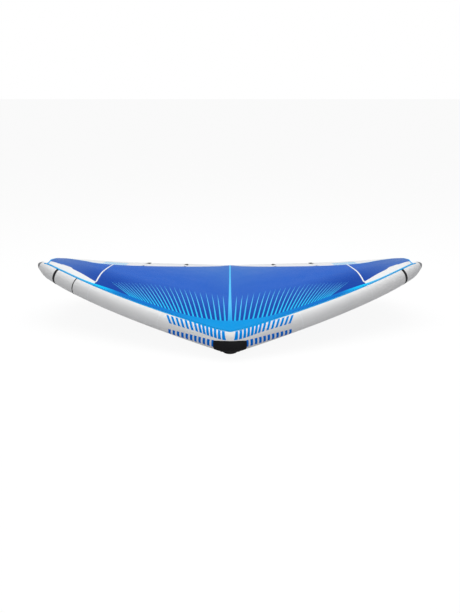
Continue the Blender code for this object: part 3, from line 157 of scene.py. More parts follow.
class MeshBook:
    """Gathers grids of points and joins them into one closed mesh with a UV at each corner."""

    def __init__(self) -> None:
        """An empty book."""
        self._points: list[Array] = []
        self._count = 0
        self._faces: list[Array] = []
        self._uvs: list[Array] = []

    def points(self, grid: Array) -> Array:
        """Adds a grid of points.

        Args:
            grid: Points, rows by columns by 3.

        Returns:
            The numbers of the points, rows by columns.
        """
        rows, columns = grid.shape[:2]
        self._points.append(grid.reshape(-1, 3))
        numbers = np.arange(self._count, self._count + rows * columns).reshape(rows, columns)
        self._count += rows * columns
        return numbers

    def skin(self, numbers: Array, uv: Array) -> None:
        """Quads between neighbours of a grid of point numbers.

        Args:
            numbers: Point numbers, rows by columns; a column that comes back closes a ring.
            uv: The map at each of them, in metres.
        """
        corners = (np.s_[:-1, :-1], np.s_[:-1, 1:], np.s_[1:, 1:], np.s_[1:, :-1])
        self._faces.append(np.stack([numbers[c] for c in corners], axis=-1).reshape(-1, 4))
        self._uvs.append(np.stack([uv[c] for c in corners], axis=-2).reshape(-1, 4, 2))

    def fan(self, numbers: Array, uv: Array) -> None:
        """Triangles from a new middle point to a closed ring of points.

        Args:
            numbers: The ring's point numbers, the first one again at the end.
            uv: The map at each of them.
        """
        ring = np.concatenate(self._points)[numbers[:-1]]
        middle = self.points(ring.mean(axis=0)[None, None])[0, 0]
        middles = np.full(len(numbers) - 1, middle)
        centre = np.broadcast_to(uv.mean(axis=0), (len(numbers) - 1, 2))
        self._faces.append(np.stack([middles, numbers[:-1], numbers[1:]], axis=-1))
        self._uvs.append(np.stack([centre, uv[:-1], uv[1:]], axis=-2))

    def slab(self, bottom: Array, top: Array, uv: Array) -> MeshBook:
        """A closed sheet between two grids of points, with walls round its rim.

        Args:
            bottom: Lower points, rows by columns by 3.
            top: Upper points over them.
            uv: The map of both, rows by columns by 2.

        Returns:
            The book.
        """
        low, high = self.points(bottom), self.points(top)
        self.skin(low, uv)
        self.skin(high, uv)
        for edge in (np.s_[0, :], np.s_[-1, :], np.s_[:, 0], np.s_[:, -1]):
            self.skin(np.stack([low[edge], high[edge]]), np.stack([uv[edge], uv[edge]]))
        return self

    def slabs(self, bottoms: Array, tops: Array, charts: Array) -> MeshBook:
        """A closed sheet for each pair of grids in two stacks."""
        for bottom, top, chart in zip(bottoms, tops, charts):
            self.slab(bottom, top, chart)
        return self

    def shell(self, outer: Array, inner: Array, uv: Array | None = None,
              inner_uv: Array | None = None, closed_end: bool = False) -> MeshBook:
        """A hollow tube between outer and inner rings; a ring's first point isn't repeated.

        Args:
            outer: Outer rings, rows by columns by 3.
            inner: Inner rings, with as many columns and any number of rows.
            uv: The map of the outer rings, with one column more, or their own lengths.
            inner_uv: The same for the inner rings.
            closed_end: The last rings are closed by fans instead of joined by a rim.

        Returns:
            The book.
        """
        if uv is None:
            uv, inner_uv = sweep_map(outer), sweep_map(inner)
        out, into = closed_rings(self.points(outer)), closed_rings(self.points(inner))
        self.skin(out, uv)
        self.skin(into, inner_uv)
        self.skin(np.stack([out[0], into[0]]), np.stack([uv[0], inner_uv[0]]))
        if closed_end:
            self.fan(out[-1], uv[-1])
            self.fan(into[-1], inner_uv[-1])
        else:
            self.skin(np.stack([out[-1], into[-1]]), np.stack([uv[-1], inner_uv[-1]]))
        return self

    def loft(self, rings: Array, uv: Array | None = None) -> MeshBook:
        """A solid through closed rings, with fans over both ends.

        Args:
            rings: Rings, rows by columns by 3; a ring's first point isn't repeated.
            uv: The map of the rings, with one column more, or their own lengths.

        Returns:
            The book.
        """
        uv = sweep_map(rings) if uv is None else uv
        numbers = closed_rings(self.points(rings))
        self.skin(numbers, uv)
        self.fan(numbers[0], uv[0])
        self.fan(numbers[-1], uv[-1])
        return self

    def solid(self, rings: Array, frame: Matrix) -> MeshBook:
        """A solid through rings given in a local frame."""
        return self.loft(placed(rings, frame), sweep_map(rings))

    def collar(self, rings: Array, frame: Matrix) -> MeshBook:
        """A solid whose last ring joins its first one again, given in a local frame."""
        uv = sweep_map(rings)
        numbers = closed_rings(self.points(placed(rings, frame)))
        self.skin(np.concatenate([numbers, numbers[:1]]), np.concatenate([uv, uv[-1:]]))
        return self

    def lugs(self, low: Triple, high: Triple, edge: float, frame: Matrix) -> MeshBook:
        """Two bars at equal distances on both sides of Y zero."""
        for near, far in ((-high[1], -low[1]), (low[1], high[1])):
            self.solid(bar_rings((low[0], near, low[2]), (high[0], far, high[2]), edge), frame)
        return self

    def build(self, name: str, finish: Material, sharp: float = 40.0 * DEGREE) -> Piece:
        """The mesh as an object with outward faces.

        Args:
            name: The piece's name.
            finish: Its material.
            sharp: Edges that turn by more than this angle stay sharp.

        Returns:
            The linked object, at the origin.
        """
        mesh = bpy.data.meshes.new(name)
        faces = [row for block in self._faces for row in block.tolist()]
        mesh.from_pydata(np.concatenate(self._points).tolist(), [], faces)
        layer = mesh.uv_layers.new(name="cloth")
        layer.data.foreach_set("uv", np.concatenate([uv.reshape(-1) for uv in self._uvs]))
        shape = bmesh.new()
        shape.from_mesh(mesh)
        bmesh.ops.recalc_face_normals(shape, faces=shape.faces)
        shape.to_mesh(mesh)
        shape.free()
        mesh.materials.append(finish)
        mesh.shade_smooth()
        mesh.set_sharp_from_angle(angle=sharp)
        made = bpy.data.objects.new(name, mesh)
        bpy.context.scene.collection.objects.link(made)
        return made


def closed_rings(numbers: Array) -> Array:
    """Rings of point numbers with the first point again at the end of each."""
    return np.concatenate([numbers, numbers[:, :1]], axis=1)


def metre_map(across: Array, along: Array) -> Array:
    """A map grid from its columns' and its rows' distances in metres."""
    return np.stack(np.meshgrid(across, along), axis=-1)


def turned_rings(profile: Array, segments: int) -> Array:
    """A profile of radii and heights carried round Z: (r cos t, r sin t, z), one row a point."""
    turns = circle(segments)
    radius, height = profile[:, :1], profile[:, 1:2]
    return np.stack([radius * np.cos(turns), radius * np.sin(turns),
                     np.broadcast_to(height, (len(profile), segments))], axis=-1)


def rounded_profile(corners: list[Pair], radius: float, steps: int = 3,
                    closed: bool = False) -> Array:
    """A line through corners with each one replaced by a quadratic curve.

    Args:
        corners: The corners, each a pair.
        radius: How far from a corner its curve starts, or a third of the shorter side there.
        steps: Parts of each curve.
        closed: The last corner joins the first.

    Returns:
        The points of the rounded line.
    """
    places = np.array(corners, float)
    count = len(places)
    turns = even(steps + 1)[:, None]
    rows = []
    for number, here in enumerate(places):
        if not closed and number in (0, count - 1):
            rows.append(here[None])
            continue
        before, after = places[number - 1] - here, places[(number + 1) % count] - here
        lengths = np.linalg.norm([before, after], axis=1)
        reach = min(radius, lengths.min() / 3.0)
        start, end = here + before / lengths[0] * reach, here + after / lengths[1] * reach
        rows.append((1.0 - turns) ** 2 * start + 2.0 * turns * (1.0 - turns) * here
                    + turns ** 2 * end)
    return np.concatenate(rows)


def placed(points: Array, frame: Matrix) -> Array:
    """Points of a local frame in the wing's frame."""
    axes = np.array(frame)
    return points @ axes[:3, :3].T + axes[:3, 3]


def frame_of(origin: Array, x_axis: Array, z_axis: Array) -> Matrix:
    """A frame from its origin, its X direction and its Z direction."""
    columns = np.eye(4)
    columns[:3, 0], columns[:3, 2], columns[:3, 3] = x_axis, z_axis, origin
    columns[:3, 1] = np.cross(z_axis, x_axis)
    return Matrix(columns.tolist())


class Signal:
    """A shader socket that is added, multiplied and compared as a number is."""

    def __init__(self, book: NodeBook, socket: bpy.types.NodeSocket) -> None:
        """Wraps an output socket of the book's tree."""
        self.book = book
        self.socket = socket

    def _math(self, operation: str, *values: object) -> Signal:
        """A Math node on the given values."""
        return self.book.signal("ShaderNodeMath", {"operation": operation},
                                dict(enumerate(values)))

    def __add__(self, other: object) -> Signal:
        """Sum."""
        return self._math("ADD", self, other)

    __radd__ = __add__

    def __sub__(self, other: object) -> Signal:
        """Difference."""
        return self._math("SUBTRACT", self, other)

    def __rsub__(self, other: object) -> Signal:
        """Difference from a number."""
        return self._math("SUBTRACT", other, self)

    def __mul__(self, other: object) -> Signal:
        """Product."""
        return self._math("MULTIPLY", self, other)

    __rmul__ = __mul__

    def __abs__(self) -> Signal:
        """The value without its sign."""
        return self._math("ABSOLUTE", self)

    def sine(self) -> Signal:
        """Sine of the value."""
        return self._math("SINE", self)

    def larger(self, other: object) -> Signal:
        """The larger of two values."""
        return self._math("MAXIMUM", self, other)

    def clamped(self) -> Signal:
        """The value kept between 0 and 1."""
        return self._math("MINIMUM", self.larger(0.0), 1.0)

    def ramp(self, low: float, high: float) -> Signal:
        """0 at low, 1 at high, eased between."""
        return self.book.signal("ShaderNodeMapRange", {"interpolation_type": "SMOOTHSTEP"},
                                {"Value": self, "From Min": low, "From Max": high})

    def wave(self, pitch: float) -> Signal:
        """A sine of that pitch, from 0 to 1."""
        return (self * (FULL_TURN / pitch)).sine() * 0.5 + 0.5

    def lines(self, pitch: float, share: float) -> Signal:
        """Soft lines that fill a share of each pitch."""
        edge = 1.0 - 2.0 * share
        return (self * (FULL_TURN / pitch)).sine().ramp(edge, min(edge + 0.5, 1.0))


class NodeBook:
    """A material's tree, filled from Python expressions."""

    def __init__(self, name: str) -> None:
        """A new material with a Principled shader."""
        self.material = bpy.data.materials.new(name)
        self.material.use_nodes = True
        self.tree = self.material.node_tree
        self.shader = self.tree.nodes["Principled BSDF"]
        self.output = self.tree.nodes["Material Output"]

    def node(self, kind: str, settings: dict, inputs: dict) -> bpy.types.Node:
        """A node of any type.

        Args:
            kind: The node's type.
            settings: Its own settings, set first.
            inputs: Values or signals of its sockets, by name or number.

        Returns:
            The node.
        """
        made = self.tree.nodes.new(kind)
        for key, value in settings.items():
            setattr(made, key, value)
        for key, value in inputs.items():
            self.feed(made.inputs[key], value)
        return made

    def feed(self, socket: bpy.types.NodeSocket, value: object) -> None:
        """Links a signal to a socket, or sets the socket's own value."""
        if isinstance(value, Signal):
            self.tree.links.new(value.socket, socket)
        else:
            socket.default_value = value

    def signal(self, kind: str, settings: dict, inputs: dict, output: object = 0) -> Signal:
        """An output of a new node as a signal."""
        return Signal(self, self.node(kind, settings, inputs).outputs[output])

    def place(self) -> Signal:
        """Object coordinates."""
        return self.signal("ShaderNodeTexCoord", {}, {}, "Object")

    def cloth(self) -> Signal:
        """The piece's own map, in metres."""
        return self.signal("ShaderNodeTexCoord", {}, {}, "UV")

    def axes(self, vector: Signal) -> tuple[Signal, Signal, Signal]:
        """The three numbers of a vector."""
        node = self.node("ShaderNodeSeparateXYZ", {}, {0: vector})
        return tuple(Signal(self, node.outputs[number]) for number in range(3))

    def noise(self, vector: Signal, scale: float, detail: float = 3.0,
              stretch: Triple | None = None) -> Signal:
        """Noise from 0 to 1 on a vector, stretched where asked."""
        if stretch:
            vector = self.signal("ShaderNodeMapping", {}, {"Vector": vector, "Scale": stretch})
        return self.signal("ShaderNodeTexNoise", {},
                           {"Vector": vector, "Scale": scale, "Detail": detail})

    def blend(self, share: object, first: object, second: object) -> Signal:
        """A mix of two colours."""
        return self.signal("ShaderNodeMix", {"data_type": "RGBA"},
                           {"Factor": share, "A": rgba(first), "B": rgba(second)}, "Result")

    def bump(self, height: Signal, depth: float, strength: float = 1.0) -> None:
        """A relief of the given depth in metres on the shader's normal."""
        normal = self.signal("ShaderNodeBump", {}, {"Height": height, "Distance": depth,
                                                    "Strength": strength})
        self.feed(self.shader.inputs["Normal"], normal)

    def surface(self, colour: object, roughness: object, **constants: float) -> Material:
        """Feeds the shader.

        Args:
            colour: Base colour.
            roughness: Roughness.
            constants: Plain numbers for other sockets, with _ for a space.

        Returns:
            The finished material.
        """
        self.feed(self.shader.inputs["Base Color"], rgba(colour))
        self.feed(self.shader.inputs["Roughness"], roughness)
        for key, value in constants.items():
            title = key.replace("_", " ").title().replace("Ior", "IOR")
            self.shader.inputs[title].default_value = value
        return self.material


def rgba(colour: object) -> object:
    """A colour of three numbers with full cover, or the signal itself."""
    return colour if isinstance(colour, Signal) else (*colour, 1.0)


@dataclass(frozen=True)
class WovenCloth:
    """Woven cloth with a grid of stronger threads, faint creases and handling marks."""

    name: str
    colour: Triple
    shade: Triple
    roughness: float = 0.52
    thread: float = 0.0011
    grid: float = 0.0060
    grid_share: float = 0.12
    relief: float = 0.00035
    crease: float = 0.0016
    crease_scale: float = 7.0
    mark_scale: float = 2.6
    mark_detail: float = 4.0
    mark_reach: Pair = (0.42, 0.72)
    mark_share: float = 0.35
    height_shares: Pair = (0.4, 0.6)
    tint_share: float = 0.10
    rough_shares: Pair = (0.12, 0.06)
    coat: float = 0.0
    coat_roughness: float = 0.25
    gloss: float = 0.35

    def tone(self, book: NodeBook) -> Signal:
        """Base colour: the two tones mixed by slow marks."""
        marks = book.noise(book.place(), self.mark_scale, self.mark_detail).ramp(*self.mark_reach)
        return book.blend(marks * self.mark_share, self.colour, self.shade)

    def make(self) -> Material:
        """The finish as a material: threads and grid on the map, creases on object coordinates."""
        book = NodeBook(self.name)
        across, along, _ = book.axes(book.cloth())
        weave = across.wave(self.thread) * along.wave(self.thread)
        grid = across.lines(self.grid, self.grid_share).larger(
            along.lines(self.grid, self.grid_share))
        creases = book.noise(book.place(), self.crease_scale, 2.0)
        fine, coarse = self.height_shares
        height = weave * fine + grid * coarse + creases * (self.crease / self.relief)
        book.bump(height, self.relief)
        colour = book.blend(grid * self.tint_share, self.tone(book), self.shade)
        worn, ribbed = self.rough_shares
        rough = creases * worn + grid * ribbed + (self.roughness - worn / 2.0)
        return book.surface(colour, rough, coat_weight=self.coat,
                            coat_roughness=self.coat_roughness, specular_ior_level=self.gloss)


@dataclass(frozen=True)
class CanopyCloth(WovenCloth):
    """Canopy cloth: dark behind the leading edge, paler towards the trailing edge and the tips; the
    gradient is painted reflection of the bright air.
    """

    # front, colour, rear and the tip tone grade the cloth from dark behind the tube to pale at the
    # trailing edge and tips: painted reflection of the bright air
    front: Triple = (0.001, 0.045, 0.310)
    rear: Triple = (0.045, 0.160, 0.500)
    pale: Triple = (0.060, 0.148, 0.430)
    front_reach: Pair = (0.05, 0.62)
    rear_reach: Pair = (0.70, 2.20)
    tip_reach: Pair = (1.15, 1.75)
    ripple: float = 0.16

    def tone(self, book: NodeBook) -> Signal:
        """Base colour by the distance behind the tube and, near the tips, along the span: painted
        reflection, paler where the cloth lies at a flatter angle.
        """
        across, behind, _ = book.axes(book.cloth())
        ripple = book.noise(book.place(), self.mark_scale) * self.ripple - self.ripple / 2.0
        near = book.blend((behind + ripple).ramp(*self.front_reach), self.front, self.colour)
        far = book.blend((behind + ripple).ramp(*self.rear_reach), near, self.rear)
        return book.blend((abs(across) + ripple).ramp(*self.tip_reach), far, self.pale)


@dataclass(frozen=True)
class PrintedFilm:
    """Thin glossy film that carries the printed stripes, graded along the map's second number."""

    name: str
    start: Triple
    end: Triple
    reach: Pair = (0.0, 1.0)
    roughness: float = 0.38
    grain: float = 160.0
    relief: float = 0.00012
    gloss: float = 0.03
    worn_scale: float = 9.0
    worn_detail: float = 4.0
    worn_reach: Pair = (0.55, 0.80)
    worn_share: float = 0.25
    dark_share: float = 0.82
    rough_share: float = 0.10

    def tone(self, book: NodeBook) -> Signal:
        """The print's colour, graded between its two ends."""
        _, along, _ = book.axes(book.cloth())
        return book.blend(along.ramp(*self.reach), self.start, self.end)

    def make(self) -> Material:
        """The film as a material."""
        book = NodeBook(self.name)
        tint = self.tone(book)
        grain = book.noise(book.place(), self.grain, 2.0)
        worn = book.noise(book.place(), self.worn_scale, self.worn_detail)
        book.bump(grain, self.relief)
        darker = tuple(self.dark_share * value for value in self.start)
        colour = book.blend(worn.ramp(*self.worn_reach) * self.worn_share, tint, darker)
        rough = grain * self.rough_share + (self.roughness - self.rough_share / 2.0)
        return book.surface(colour, rough, specular_ior_level=self.gloss)


@dataclass(frozen=True)
class BandFilm(PrintedFilm):
    """Film of the printed band: bright at the nose, deeper half way out, bright at the tips."""

    deep: Triple = (0.000, 0.140, 0.500)
    near_reach: Pair = (0.15, 0.75)
    far_reach: Pair = (0.98, 1.24)

    def tone(self, book: NodeBook) -> Signal:
        """The colour by the distance from the wing's middle."""
        across, _, _ = book.axes(book.cloth())
        away = abs(across)
        near = book.blend(away.ramp(*self.near_reach), self.start, self.deep)
        return book.blend(away.ramp(*self.far_reach), near, self.end)


@dataclass(frozen=True)
class Webbing:
    """Woven strap: slanted ribs across it, strands along it and some fluff."""

    name: str
    colour: Triple
    light: Triple
    rib: float = 0.0022
    relief: float = 0.0005
    roughness: float = 0.78
    gloss: float = 0.15
    slant_share: float = 0.35
    strand_share: float = 0.8
    fluff_scale: float = 900.0
    height_shares: Triple = (0.7, 0.2, 0.2)
    light_shares: Pair = (0.5, 0.4)
    rough_shares: Pair = (0.15, 0.08)
    sheen: float = 0.05

    def make(self) -> Material:
        """The webbing as a material, with its ribs along the map's second number."""
        book = NodeBook(self.name)
        across, along, _ = book.axes(book.cloth())
        ribs = (along + abs(across) * self.slant_share).wave(self.rib)
        strands = across.wave(self.rib * self.strand_share)
        fluff = book.noise(book.place(), self.fluff_scale, 2.0)
        first, second, third = self.height_shares
        book.bump(ribs * first + strands * second + fluff * third, self.relief)
        ribbed, fluffy = self.light_shares
        light = (ribs * ribbed + fluff * fluffy).clamped()
        worn, level = self.rough_shares
        rough = fluff * worn + (self.roughness - level)
        return book.surface(book.blend(light, self.colour, self.light), rough,
                            sheen_weight=self.sheen, specular_ior_level=self.gloss)


@dataclass(frozen=True)
class Moulded:
    """Moulded plastic, rubber or foam skin with a fine grain and worn tones."""

    name: str
    colour: Triple
    worn: Triple
    roughness: float = 0.5
    grain: float = 420.0
    relief: float = 0.0002
    worn_scale: float = 14.0
    worn_detail: float = 5.0
    worn_reach: Pair = (0.50, 0.78)
    worn_share: float = 0.6
    rough_shares: Triple = (0.12, 0.10, 0.08)
    coat: float = 0.0
    coat_roughness: float = 0.2
    sheen: float = 0.0
    gloss: float = 0.5

    def make(self) -> Material:
        """The finish as a material on object coordinates."""
        book = NodeBook(self.name)
        grain = book.noise(book.place(), self.grain, 2.0)
        wear = book.noise(book.place(), self.worn_scale, self.worn_detail).ramp(*self.worn_reach)
        book.bump(grain, self.relief)
        colour = book.blend(wear * self.worn_share, self.colour, self.worn)
        fine, worn, level = self.rough_shares
        rough = grain * fine + wear * worn + (self.roughness - level)
        return book.surface(colour, rough, coat_weight=self.coat,
                            coat_roughness=self.coat_roughness, sheen_weight=self.sheen,
                            specular_ior_level=self.gloss)


@dataclass(frozen=True)
class ClearSilicone:
    """Milky silicone of the hose: soft gloss over a pale body, ribbed along the map."""

    name: str = "milky_silicone"
    colour: Triple = (0.56, 0.62, 0.66)
    depth: Triple = (0.40, 0.47, 0.52)
    rib: float = 0.0060
    relief: float = 0.00025
    haze_scale: float = 60.0
    depth_shares: Pair = (0.6, 0.3)
    roughness: float = 0.22
    rough_share: float = 0.1
    clear_share: float = 0.15
    index: float = 1.41
    coat: float = 0.3
    coat_roughness: float = 0.1

    def make(self) -> Material:
        """The silicone as a material."""
        book = NodeBook(self.name)
        _, along, _ = book.axes(book.cloth())
        ribs = along.wave(self.rib)
        haze = book.noise(book.place(), self.haze_scale)
        book.bump(ribs, self.relief)
        hazy, ribbed = self.depth_shares
        colour = book.blend((haze * hazy + ribs * ribbed).clamped(), self.colour, self.depth)
        return book.surface(colour, haze * self.rough_share + self.roughness,
                            transmission_weight=self.clear_share, ior=self.index,
                            coat_weight=self.coat, coat_roughness=self.coat_roughness)


@dataclass(frozen=True)
class Carbon:
    """Flat batten strip: dark resin with fibres along its length."""

    name: str = "carbon_strip"
    colour: Triple = (0.012, 0.012, 0.014)
    fibre: Triple = (0.060, 0.062, 0.066)
    scale: float = 300.0
    stretch: Triple = (1.0, 0.03, 1.0)
    reach: Pair = (0.4, 0.7)
    relief: float = 0.0001
    roughness: float = 0.25
    rough_share: float = 0.15
    coat: float = 0.5
    coat_roughness: float = 0.1

    def make(self) -> Material:
        """The strip as a material: noise stretched along the wing's chord."""
        book = NodeBook(self.name)
        fibres = book.noise(book.place(), self.scale, stretch=self.stretch)
        book.bump(fibres, self.relief)
        colour = book.blend(fibres.ramp(*self.reach), self.colour, self.fibre)
        return book.surface(colour, fibres * self.rough_share + self.roughness,
                            coat_weight=self.coat, coat_roughness=self.coat_roughness)


@dataclass(frozen=True)
class Finishes:
    """Every finish of the wing, made once."""

    sleeve: WovenCloth = WovenCloth("white_sleeve_cloth", (0.76, 0.765, 0.77), (0.62, 0.63, 0.65),
                                    roughness=0.46, coat=0.06)
    canopy: CanopyCloth = CanopyCloth("blue_canopy_cloth", (0.014, 0.103, 0.480),
                                      (0.010, 0.060, 0.380), roughness=0.42, grid=0.0050,
                                      crease=0.0009, mark_share=0.2, gloss=0.05)
    white: WovenCloth = WovenCloth("white_canopy_cloth", (0.70, 0.705, 0.71), (0.61, 0.63, 0.66),
                                   roughness=0.50, grid=0.0050, crease=0.0009, gloss=0.2)
    pad: WovenCloth = WovenCloth("black_pad_cloth", (0.010, 0.010, 0.011), (0.030, 0.030, 0.033),
                                 roughness=0.80, thread=0.0016, grid=0.0032, relief=0.0005,
                                 crease_scale=12.0, gloss=0.06)
    tape: WovenCloth = WovenCloth("white_seam_tape", (0.78, 0.79, 0.80), (0.64, 0.66, 0.69),
                                  roughness=0.50, thread=0.0009, grid=0.0030, crease=0.0004)
    band: BandFilm = BandFilm("cyan_film", (0.000, 0.260, 0.640), (0.003, 0.470, 0.840))
    ray: PrintedFilm = PrintedFilm("pale_cyan_film", (0.012, 0.430, 0.770), (0.130, 0.530, 0.830))
    centre: PrintedFilm = PrintedFilm("centre_stripe_film", (0.002, 0.300, 0.680),
                                      (0.085, 0.480, 0.800), (0.0, 0.28))
    stripe: PrintedFilm = PrintedFilm("blue_stripe_film", (0.000, 0.245, 0.710),
                                      (0.000, 0.205, 0.670), (0.0, 0.10))
    block: PrintedFilm = PrintedFilm("deep_blue_film", (0.000, 0.160, 0.690),
                                     (0.000, 0.135, 0.640), (0.0, 0.10))
    piping: PrintedFilm = PrintedFilm("cyan_piping", (0.000, 0.330, 0.730), (0.000, 0.330, 0.730),
                                      grain=500.0, relief=0.0004, roughness=0.45)
    webbing: Webbing = Webbing("black_webbing_weave", (0.009, 0.009, 0.010), (0.040, 0.040, 0.044))
    thread: Moulded = Moulded("grey_thread", (0.30, 0.31, 0.33), (0.18, 0.19, 0.20), 0.7,
                              relief=0.0002)
    dark_thread: Moulded = Moulded("black_thread", (0.02, 0.02, 0.022), (0.05, 0.05, 0.055), 0.7)
    foam: Moulded = Moulded("black_foam_skin", (0.012, 0.012, 0.013), (0.035, 0.035, 0.038), 0.68,
                            grain=260.0, relief=0.0006, sheen=0.05, gloss=0.15)
    rubber: Moulded = Moulded("black_rubber_skin", (0.015, 0.015, 0.016), (0.045, 0.045, 0.048),
                              0.55)
    tip: Moulded = Moulded("grey_tip_rubber", (0.200, 0.205, 0.215), (0.300, 0.305, 0.315), 0.60,
                           gloss=0.25)
    plastic: Moulded = Moulded("grey_valve_plastic", (0.150, 0.160, 0.172), (0.220, 0.230, 0.240),
                               0.38, coat=0.1)
    metal: Moulded = Moulded("dark_slider_metal", (0.10, 0.105, 0.11), (0.20, 0.21, 0.22), 0.34,
                             coat=0.2)
    film: Moulded = Moulded("bladder_film", (0.52, 0.56, 0.58), (0.42, 0.46, 0.49), 0.28,
                            grain=90.0, coat=0.2)
    silicone: ClearSilicone = ClearSilicone()
    carbon: Carbon = Carbon()

    def shelf(self) -> Shelf:
        """Every finish made, by its field's name."""
        return {key: getattr(self, key).make() for key in self.__dataclass_fields__}


@dataclass(frozen=True)
class TubeLine:
    """The line and the radius of the inflated leading edge, the same rules as the solid model's.

    A place along it is signed: 0 at the nose, 1 at the right tip's last full ring and -1 at the
    left tip's.
    """

    half_line: float = 1.800
    sweep: float = 1.127
    rise: float = 0.378
    nose_bend: float = 0.070
    straight_share: float = 0.69
    rise_shares: Triple = (0.97, -0.42, 0.45)
    nose_radius: float = 0.1034
    tip_radius: float = 0.0900
    taper_shares: Pair = (0.82, 0.11)
    tip_length: float = 0.061
    close_shares: Pair = (0.944, 1.032)
    close_power: float = 1.7
    seam_turn: float = 20.0 * DEGREE
    dip_turn: float = 4.0 * DEGREE
    dip_reach: float = 0.035
    origin: Triple = (0.0, -1.071968, 0.150814)

    def bend(self, place: Array) -> Array:
        """The place rounded off at the nose: a hyperbola through 0 that ends at 1."""
        soft = self.nose_bend / self.half_line
        return (np.hypot(place, soft) - soft) / (math.hypot(1.0, soft) - soft)

    def middle(self, place: Array) -> Array:
        """The middle of the tube: swept back and up by the rounded place and its powers."""
        bent = self.bend(place)
        back = self.sweep * (self.straight_share * bent + (1.0 - self.straight_share) * place ** 2)
        first, second, third = self.rise_shares
        up = self.rise * (first * bent + second * place ** 2 + third * np.abs(place) ** 3)
        return np.stack([self.half_line * place, back, up], axis=-1) + np.array(self.origin)

    def frame(self, place: Array) -> tuple[Array, Array, Array]:
        """Directions along, up and forward at a place, from a central difference of the line."""
        along = unit(self.middle(place + STEP) - self.middle(place - STEP))
        upright = np.array([0.0, 0.0, 1.0])
        up = unit(upright - along * along[..., 2:3])
        forward = np.cross(along, up)
        return along, up, forward

    def radius(self, place: Array) -> Array:
        """Radius: a straight taper, drawn in near the tip, closed by an ellipse and a power."""
        share = np.abs(place)
        start, drawn = self.taper_shares
        radius = self.nose_radius + (self.tip_radius - self.nose_radius) * np.minimum(share, 1.0)
        radius = radius * (1.0 - drawn * smooth_step((share - start) / (1.0 - start)))
        first, last = self.close_shares
        past = np.clip((share - first) / (last - first), 0.0, 1.0)
        return radius * (np.sqrt(1.0 - past ** 2) + 1.0 - past ** self.close_power) / 2.0

    def seam_angle(self, place: Array) -> Array:
        """Where the canopy's front seam lies: it dips to a point at the nose by a square law."""
        near = np.clip(1.0 - np.abs(place) / self.dip_reach, 0.0, 1.0)
        return self.seam_turn + self.dip_turn * near ** 2

    def skin(self, place: Array, angle: Array, lift: Array | float = 0.0) -> Array:
        """A point of the tube's skin; the angle runs from its top round the front, in radians."""
        place, angle = np.broadcast_arrays(np.asarray(place, float), np.asarray(angle, float))
        _, up, forward = self.frame(place)
        turn = np.cos(angle)[..., None] * up + np.sin(angle)[..., None] * forward
        reach = self.radius(place) + lift
        return self.middle(place) + reach[..., None] * turn


